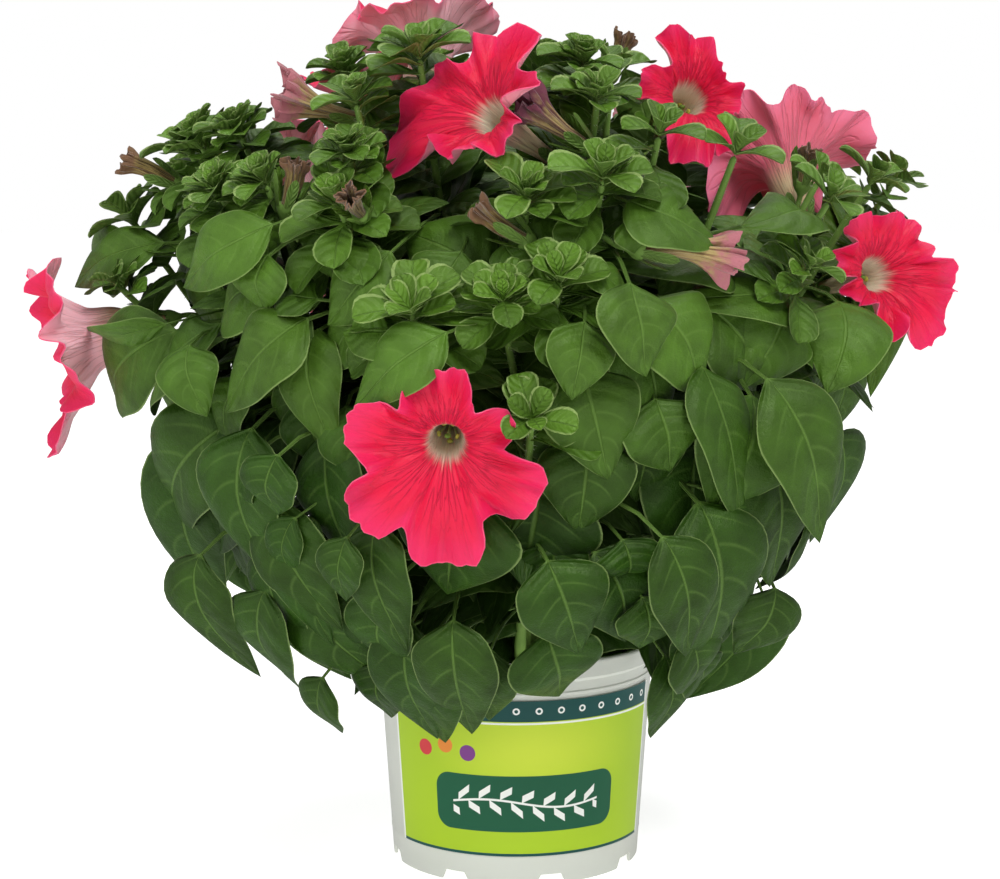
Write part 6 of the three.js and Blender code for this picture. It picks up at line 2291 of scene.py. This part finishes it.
@dataclass
class OpenBloom:
    """An open corolla: a funnel tube that opens into five ruffled lobes, with its stamens."""

    index: int
    plan: tuple
    columns: int = 150
    rows: int = 40
    thickness: float = 0.45
    throat_radius: float = 7.2
    limb_share: float = 0.5
    flare: float = 1.0  # above 1, the tube opens sooner and wider
    ruffle: float = 0.085  # as a share of the limb's radius
    groove: float = 5.0  # how far lobes' middles stand forward of the folds between them
    crease: float = 0.45
    teeth: float = 0.022

    @property
    def axes(self) -> BloomAxes:
        """Directions of the bloom."""
        return BloomAxes.facing(self.plan[1])

    @property
    def seat(self) -> np.ndarray:
        """Where the tube leaves the calyx."""
        return np.array(self.plan[0], float) - self.axes.forward * self.plan[3]

    def _limb(self, turns: np.ndarray) -> tuple[np.ndarray, np.ndarray, np.ndarray]:
        """Outline of the limb.

        Args:
            turns: Turns from straight down, in degrees.

        Returns:
            Reach and curl at each turn, and how near the turn is to its lobe's middle.
        """
        if self.index in LIMB_LOBES:
            table = self._lobed(LIMB_LOBES[self.index]) / [1, self.plan[2], self.plan[2]]
            crest = (table[:, 1:2] - table[:, 1].min()) / np.ptp(table[:, 1])
            table = np.concatenate([table, crest], axis=1)
        else:
            table = self._rounded(self.plan[4])
        wrapped = np.concatenate([table - [360, 0, 0, 0], table, table + [360, 0, 0, 0]])
        values = flowing(turns, wrapped[:, 0], wrapped[:, 1:])
        return values[:, 0], values[:, 1], values[:, 2]

    @staticmethod
    def _rounded(lobes: Sequence[Sequence[float]]) -> np.ndarray:
        """Outline of five plain lobes.

        Args:
            lobes: Rows of angle, length share and curl, as in BLOOM_PLANS.

        Returns:
            Rows of turn, reach, curl and how near the turn is to its lobe's middle.
        """
        rows = []
        for k, (angle, length, curl) in enumerate(lobes):
            before, after = lobes[k - 1], lobes[(k + 1) % len(lobes)]
            low = ((before[0] - 360 if k == 0 else before[0]) + angle) / 2
            high = (angle + (after[0] + 360 if k + 1 == len(lobes) else after[0])) / 2
            rows += [
                (low, 0.8 * min(1, (length + before[1]) / 2), 0.1, 0.0),
                (low + (angle - low) * 0.42, 0.97 * length, 0.8 * curl - 0.04, 0.6),
                (angle, 1.02 * length, curl, 1.0),
                (angle + (high - angle) * 0.58, 0.96 * length, 0.8 * curl + 0.06, 0.6),
            ]
        return np.array(rows)

    @staticmethod
    def _lobed(lobes: Sequence[Sequence[float]]) -> np.ndarray:
        """Outline round a limb's lobes: a shoulder, the crest, a shoulder, and the notch before the next.

        Args:
            lobes: Rows of middle, half width, reach, notch and lift.

        Returns:
            Rows of turn, reach and lift.
        """
        rows = []
        for k, (middle, half, reach, notch, lift) in enumerate(lobes):
            following = lobes[(k + 1) % len(lobes)]
            start = following[0] - following[1] + (360 if k + 1 == len(lobes) else 0)
            rows += [
                (middle - 0.7 * half, 0.96 * reach, 0.7 * lift),
                (middle, reach, lift),
                (middle + 0.7 * half, 0.96 * reach, 0.7 * lift),
                ((middle + half + start) / 2, notch, 0.3 * lift + NOTCH_LIFT),
            ]
        return np.array(rows, float)

    def _sheet(self, draw: np.random.Generator) -> tuple[np.ndarray, np.ndarray]:
        """The corolla's middle surface.

        Args:
            draw: Draws for its ruffles.

        Returns:
            Points as [row, column, axis], and the place of each row from base to edge.
        """
        _, _, radius, tube, _ = self.plan
        turns = np.linspace(0, 360, self.columns, endpoint=False)
        reach, curl, crest = self._limb(turns)
        angles = np.radians(turns)
        full = np.ones_like(angles)
        knots = (0.0, 0.14, 0.3, 0.47, 0.56, 0.74, 1.0)
        limb = radius * reach
        wide = self.flare - 1
        forward = np.stack([
            0 * full, tube * 0.3 * full, tube * (0.6 - 0.08 * wide) * full,
            tube * (0.97 - 0.2 * wide) * full, (tube * (1 - 0.18 * wide) + 3) * full,
            tube * (1 - 0.04 * wide) + 5.4 + 0.15 * curl * radius, tube + 6.6 + 4 * wide + curl * radius,
        ])
        throat = self.throat_radius * self.flare
        spread = np.stack([
            2.3 * full, (3.2 + 3.6 * wide) * full, (5.0 + 7 * wide) * full, throat * full,
            throat + 0.18 * (limb - throat), throat + self.limb_share * (limb - throat), limb,
        ])
        places = 1 - (1 - np.linspace(0, 1, self.rows)) ** 1.15
        forward = flowing(places, knots, forward)
        spread = flowing(places, knots, spread)
        waves = np.zeros_like(angles)
        for count, size in ((7, 0.5), (11, 0.8), (17, 0.5), (26, 0.22)):
            waves += size * np.sin(count * angles + draw.uniform(0, 2 * math.pi))
        teeth = np.abs(np.sin(19 * angles + draw.uniform(0, 6))) ** 0.6 + 0.5 * np.sin(43 * angles)
        ruffled = eased(places, 0.62, 1.0)[:, None] ** 1.3
        grooved = eased(places, 0.4, 0.6)[:, None] * eased(places, 1.0, 0.75)[:, None]
        creases = np.sin(13 * angles + draw.uniform(0, 6)) + 0.7 * np.sin(21 * angles + draw.uniform(0, 6))
        forward = forward + ruffled * waves * radius * self.ruffle
        forward = forward + grooved * ((crest - 0.5) * self.groove + self.crease * creases)
        spread = spread * (1 + self.teeth * eased(places, 0.86, 1.0)[:, None] * (teeth - 0.6))
        return self.axes.ring(self.seat, forward, spread, np.broadcast_to(angles, forward.shape)), places

    def build(self, face: bpy.types.Material, back: bpy.types.Material) -> bpy.types.Object:
        """Builds the corolla.

        Args:
            face: Material of the petals' upper side.
            back: Material of their backs and of the tube.

        Returns:
            The corolla.
        """
        sheet, places = self._sheet(np.random.default_rng(500 + self.index))
        thickness = self.thickness + 0.5 * (1 - eased(places, 0.0, 0.5))
        rings = sheet_rings(sheet, thickness)
        rings[: self.rows], rings[self.rows:] = self._outside_first(rings)
        levels = np.concatenate([[0], places, places[::-1], [0]])
        finish = np.ones((2 * self.rows + 1, 1), int)
        finish[self.rows:] = 0
        poles = (self.seat, self.seat + self.axes.forward * 0.6)
        skins = Skins()
        flush = BLOOM_FLUSHES.get(self.index, 0.0)
        skins.add(rings, poles, None, levels, finish, age=flush, tint=chance(self.index, 1, 2))
        piece = skins.piece(f"corolla_{self.index + 1:02d}", [face, back], sharp=75)
        return carried(piece, "petal", f"bloom_{self.index + 1:02d}")

    def _outside_first(self, rings: np.ndarray) -> tuple[np.ndarray, np.ndarray]:
        """The two sides of the corolla, with the side that faces away from the tube's axis first."""
        first, second = rings[: self.rows], rings[self.rows:]
        middle = self.rows // 5
        centre = first[middle].mean(0)
        wide = np.linalg.norm(first[middle] - centre, axis=1).mean()
        narrow = np.linalg.norm(second[::-1][middle] - centre, axis=1).mean()
        return (first.copy(), second.copy()) if wide > narrow else (second[::-1].copy(), first[::-1].copy())

    def build_stamens(self, materials: Sequence[bpy.types.Material]) -> bpy.types.Object:
        """Builds five stamens and the style.

        Args:
            materials: Filament, anther and stigma.

        Returns:
            The stamens in one piece.
        """
        tube = self.plan[3]
        draw = np.random.default_rng(700 + self.index)
        skins = Skins()
        for k in range(5):
            angle = np.array(2 * math.pi * (k + draw.uniform(-0.2, 0.2)) / 5)
            length = tube * (0.62 + 0.1 * draw.uniform(0, 1))
            places = np.linspace(0.25, 1, 8)
            line = np.stack([
                self.axes.ring(self.seat, np.array(length * place), np.array(0.5 + 2.9 * place**2), angle)
                for place in places
            ])
            skins.add(tube_rings(line, 0.32, 6, self.axes.down), (line[0], line[-1]), finish=0)
            self._bead(skins, line[-1], (1.15, 0.8), 1, angle)
        end = self.seat + self.axes.forward * tube * 0.76
        line = np.linspace(self.seat + self.axes.forward * tube * 0.2, end, 6)
        skins.add(tube_rings(line, 0.42, 6, self.axes.down), (line[0], line[-1]), finish=0)
        self._bead(skins, end, (1.3, 0.9), 2, np.array(0.0))
        piece = skins.piece(f"stamen_tuft_{self.index + 1:02d}", materials)
        return carried(piece, "stamen", f"stamens_{self.index + 1:02d}")

    def _bead(self, skins: Skins, centre: np.ndarray, radii: tuple[float, float], finish: int,
              angle: np.ndarray) -> None:
        """Adds an anther or the stigma as a small oval bead."""
        out = self.axes.ring(np.zeros(3), np.array(0.0), np.array(1.0), angle)
        square = np.cross(self.axes.forward, out)
        wide, thick = radii
        rings = []
        for share in (-0.85, -0.45, 0.0, 0.45, 0.85):
            turns = np.linspace(0, 2 * math.pi, 8, endpoint=False)
            reach = math.sqrt(1 - share * share)
            ring = out * (thick * reach * np.cos(turns))[:, None]
            rings.append(centre + ring + square * (wide * reach * np.sin(turns))[:, None]
                         + self.axes.forward * wide * share)
        poles = (centre - self.axes.forward * wide, centre + self.axes.forward * wide)
        skins.add(np.array(rings), poles, finish=finish)


class DriedKind(Enum):
    """How a withered corolla has coloured."""

    ROSY = "rosy"
    PURPLE = "purple"
    BROWN = "brown"


DRIED_KINDS = {0: DriedKind.ROSY, 1: DriedKind.PURPLE, 3: DriedKind.ROSY}


@dataclass
class WitheredBloom:
    """A dried corolla: a pleated tube with a crumpled, ragged mouth."""

    index: int
    plan: tuple
    columns: int = 64
    rows: int = 30
    thickness: float = 0.4

    def build(self, materials: Sequence[bpy.types.Material]) -> bpy.types.Object:
        """Builds the withered corolla.

        Args:
            materials: Its one material.

        Returns:
            The corolla.
        """
        seat, mouth, radius = np.array(self.plan[0], float), np.array(self.plan[1], float), self.plan[2]
        axes = BloomAxes.facing(mouth - seat)
        length = float(np.linalg.norm(mouth - seat))
        draw = np.random.default_rng(900 + self.index)
        angles = np.linspace(0, 2 * math.pi, self.columns, endpoint=False)
        places = np.linspace(0, 1, self.rows)
        knots = (0, 0.2, 0.4, 0.75, 0.9, 1.0)
        widths = np.array([1.9, 2.3, 2.8, radius * 0.66, radius * 0.95, radius * 1.02])
        reach = flowing(places, knots, widths)
        pleat = flowing(places, knots, np.array([0.0, 0.1, 0.18, 0.34, 0.45, 0.5]))
        twist = 0.7 * places[:, None]
        pattern = (1 - np.cos(4 * angles + twist)) / 2
        pattern = pattern + 0.35 * np.sin(9 * angles + draw.uniform(0, 6) - 2 * twist)
        pattern = pattern + 0.3 * np.sin(15 * angles + draw.uniform(0, 6) + 3 * twist)
        spread = reach[:, None] * (1 - pleat[:, None] * pattern)
        ragged = sum(np.sin(n * angles + draw.uniform(0, 6)) / (1 + 0.15 * n) for n in (3, 5, 8, 13))
        crumple = eased(places, 0.55, 1.0)[:, None]
        curl = draw.uniform(-1, 1, (2, 1, 1)) * 1.6 * np.sin(places * 3.0)[None, :, None]
        forward = places[:, None] * length + crumple * ragged * radius * 0.2
        forward = forward + crumple * np.sin(11 * angles + 9 * places[:, None]) * radius * 0.07
        sheet = axes.ring(seat, forward, spread, np.broadcast_to(angles, spread.shape))
        sheet = sheet + axes.down * curl[0][..., None] + axes.right * curl[1][..., None]
        rings = sheet_rings(sheet, self.thickness)
        levels = np.concatenate([[0], places, places[::-1], [0]])
        skins = Skins()
        skins.add(rings, (seat, seat + axes.forward * 1.2), None, levels)
        piece = skins.piece(f"withered_corolla_{self.index + 1:02d}", materials, sharp=80)
        return carried(piece, "withered", f"withered_{self.index + 1:02d}")


@dataclass
class StemHairs:
    """Fine pale hairs that stand on the outer halves of the branches and on the flower stalks."""

    plan: PlantPlan
    density: float = 170000.0
    length: float = 0.0016
    radius: float = 0.00006
    seed: int = 5

    def build(self, material: bpy.types.Material) -> bpy.types.Object:
        """Grows the hairs.

        Args:
            material: The hairs' material.

        Returns:
            All hairs in one piece.
        """
        skins = Skins()
        for stem in self.plan.stems:
            bare = LeafyStem(self.plan, stem)
            for index in range(len(stem.tips)):
                line = bare.line(index)
                line = line[len(line) // 2:]
                skins.add(tube_rings(line, 1.6, 6, stem.out), (line[0], line[-1]))
            for stalk in self.plan.stalks[stem.name]:
                line = cubic(stalk.curve, np.linspace(0.1, 1, 10))
                skins.add(tube_rings(line, 1.1, 6, stem.out), (line[0], line[-1]))
        bed = skins.piece("hair_bed", [])
        scatter = Scatter("stem_hairs", material, {
            "Density": ("NodeSocketFloat", 1000.0), "Length": ("NodeSocketFloat", 0.001),
            "Thickness": ("NodeSocketFloat", 0.0001), "Seed": ("NodeSocketInt", 0),
        })
        tree = scatter.tree(
            "GeometryNodeMeshCone",
            {"Vertices": 3, "Radius Top": 0.0, "Radius Bottom": "@Thickness", "Depth": "@Length"}, 0.5,
        )
        mesh = realised(bed, tree, {
            "Density": self.density, "Length": self.length, "Thickness": self.radius, "Seed": self.seed,
        })
        bpy.data.objects.remove(bed)
        return carried(put("stem_hairs", mesh), "leaf")


# ---- Studio ------------------------------------------------------------------------------------------


@dataclass(frozen=True)
class Lamp:
    """A soft square light that points at the plant."""

    name: str
    place: tuple[float, float, float]
    size: float
    power: float
    warmth: tuple[float, float, float] = (1.0, 1.0, 1.0)


@dataclass
class Studio:
    """The camera, a plain pale floor, a white dome and soft light, in metres."""

    camera_place: tuple[float, float, float] = (-0.0067, -1.0, 0.311)
    camera_pitch: float = 82.44
    lens: float = 85.7
    sensor: float = 36.0
    clip: tuple[float, float] = (0.05, 60.0)
    lit_point: tuple[float, float, float] = (0.0, 0.0, 0.2)
    floor_size: float = 14.0
    surround: float = 0.42
    floor_glow: float = 0.62
    backdrop_radius: float = 6.0
    lamps: tuple[Lamp, ...] = (
        Lamp("key_light", (0.45, -1.3, 1.75), 0.7, 23.0),
        Lamp("fill_light", (-1.4, -1.1, 1.0), 1.2, 7.0),
        Lamp("top_light", (0.1, 0.5, 1.9), 0.9, 10.0),
    )

    def build(self) -> None:
        """Builds the studio."""
        scene = bpy.context.scene
        camera = put("camera", bpy.data.cameras.new("camera"))
        camera.location = self.camera_place
        camera.rotation_euler = Euler((math.radians(self.camera_pitch), 0, 0))
        camera.data.lens = self.lens
        camera.data.sensor_width = self.sensor
        camera.data.clip_start, camera.data.clip_end = self.clip
        scene.camera = camera
        scene.view_settings.view_transform = "Standard"
        scene.view_settings.exposure = 0.0
        world = bpy.data.worlds.new("surround")
        world.use_nodes = True
        background = next(node for node in world.node_tree.nodes if node.type == "BACKGROUND")
        background.inputs["Color"].default_value = (1, 1, 1, 1)
        background.inputs["Strength"].default_value = self.surround
        scene.world = world
        for lamp in self.lamps:
            self._hang(lamp)
        self._lay_floor()
        self._hang_backdrop()

    def _hang(self, lamp: Lamp) -> None:
        """Hangs one light."""
        data = bpy.data.lights.new(lamp.name, "AREA")
        data.size, data.energy, data.color = lamp.size, lamp.power, lamp.warmth
        light = put(lamp.name, data)
        back = unit(np.subtract(lamp.place, self.lit_point))
        light.location = lamp.place
        light.rotation_euler = Euler((math.acos(back[2]), 0, math.atan2(back[0], -back[1])))

    def _lay_floor(self) -> None:
        """Lays the pale floor."""
        half = self.floor_size / 2
        mesh = bpy.data.meshes.new("floor")
        sheet = [(-half, -half, 0), (half, -half, 0), (half, half, 0), (-half, half, 0)]
        mesh.from_pydata(sheet, [], [(0, 1, 2, 3)])
        floor = put("floor", mesh)
        r = Recipe("floor_paper")
        mesh.materials.append(r.finish(
            Base_Color=(0.97, 0.97, 0.97, 1), Roughness=0.9, Specular_IOR_Level=0.1,
            Emission_Color=(1, 1, 1, 1), Emission_Strength=self.floor_glow,
        ))
        floor.visible_glossy = False
        floor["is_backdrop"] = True

    def _hang_backdrop(self) -> None:
        """Hangs a plain white dome all round, which shows but gives no light."""
        skins = Skins()
        turns = np.linspace(0, 2 * math.pi, 48, endpoint=False)
        rings = []
        for rise in np.radians(np.arange(-75, 90, 15)):
            level = np.stack([np.cos(turns), np.sin(turns), 0 * turns], 1) * math.cos(rise)
            rings.append((level + UP * math.sin(rise)) * self.backdrop_radius / METRES)
        high = UP * self.backdrop_radius / METRES
        r = Recipe("backdrop_white")
        white = r.finish(
            Base_Color=(0, 0, 0, 1), Roughness=1.0, Specular_IOR_Level=0.0,
            Emission_Color=(1, 1, 1, 1), Emission_Strength=1.0,
        )
        skins.add(np.array(rings), (-high, high))
        backdrop = skins.piece("backdrop", [white])
        backdrop.visible_diffuse = False
        backdrop.visible_glossy = False
        backdrop.visible_transmission = False
        backdrop.visible_shadow = False
        white.cycles.emission_sampling = "NONE"
        backdrop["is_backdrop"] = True


# ---- Everything --------------------------------------------------------------------------------------


def corners(box: tuple) -> list[list[float]]:
    """A box as plain lists of numbers."""
    return [list(map(float, corner)) for corner in box]


def dress_plant(frame: dict) -> None:
    """Builds stems, blooms and hairs.
    """
    plan = PlantPlan(frame["nodes"])
    LOG.info("leaves found: %d, stalks missed: %d", sum(map(len, plan.blades.values())), plan.missed)
    margin = colour(150, 172, 104)
    upper = LeafFinish(
        "leaf_upper", young=colour(90, 126, 38), old=colour(33, 62, 9), vein=colour(104, 138, 60),
        margin=margin, vein_share=0.46, relief=0.8,
    )
    under = LeafFinish(
        "leaf_underside", young=colour(104, 134, 60), old=colour(62, 90, 32), vein=colour(122, 150, 80),
        margin=margin, vein_share=0.55, relief=0.6,
    )
    leaf_materials = [upper.material(), under.material(), StemFinish().material()]
    for stem in plan.stems:
        LeafyStem(plan, stem).build(leaf_materials)
    hair = PlainFinish("hair_silver", colour(226, 232, 206), colour(196, 210, 170))
    StemHairs(plan).build(hair.material())
    face, back = PetalFace().material(), PetalBack().material()
    tuft = [
        PlainFinish("filament", colour(206, 214, 150), colour(176, 190, 112)).material(),
        PlainFinish("anther", colour(206, 200, 92), colour(160, 158, 62), 900).material(),
        PlainFinish("stigma", colour(120, 150, 60), colour(88, 118, 40), 900).material(),
    ]
    for index, row in enumerate(BLOOM_PLANS):
        bloom = OpenBloom(index, row, flare=BLOOM_FLARES.get(index, 1.0))
        bloom.build(face, back)
        bloom.build_stamens(tuft)
    tan, olive = colour(172, 150, 96), colour(150, 130, 74)
    paints = {
        DriedKind.ROSY: (tan, colour(112, 82, 50), colour(178, 108, 116)),
        DriedKind.PURPLE: (tan, colour(96, 56, 56), colour(112, 54, 72)),
        DriedKind.BROWN: (olive, colour(100, 74, 40), colour(116, 84, 58)),
    }
    dried = {
        kind: WitheredFinish(f"withered_{kind.value}", *paint).material() for kind, paint in paints.items()
    }
    for index, row in enumerate(WITHERED_PLANS):
        WitheredBloom(index, row).build([dried[DRIED_KINDS.get(index, DriedKind.BROWN)]])


def main() -> None:
    """Builds the potted petunia round its frame."""
    logging.basicConfig(level=logging.INFO, format="%(name)s: %(message)s")
    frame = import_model()
    cad_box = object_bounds()
    Studio().build()
    pot = NurseryPot()
    plastic = PotPlastic().material()
    pot.build(plastic)
    PotLabel(pot).build(LabelPrint().material(), plastic)
    soil = SoilFinish().material()
    PottingSoil(pot).build(soil, soil)
    dress_plant(frame)
    {"cad": corners(cad_box), "visual": corners(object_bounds())}


if __name__ == "__main__":
    main()
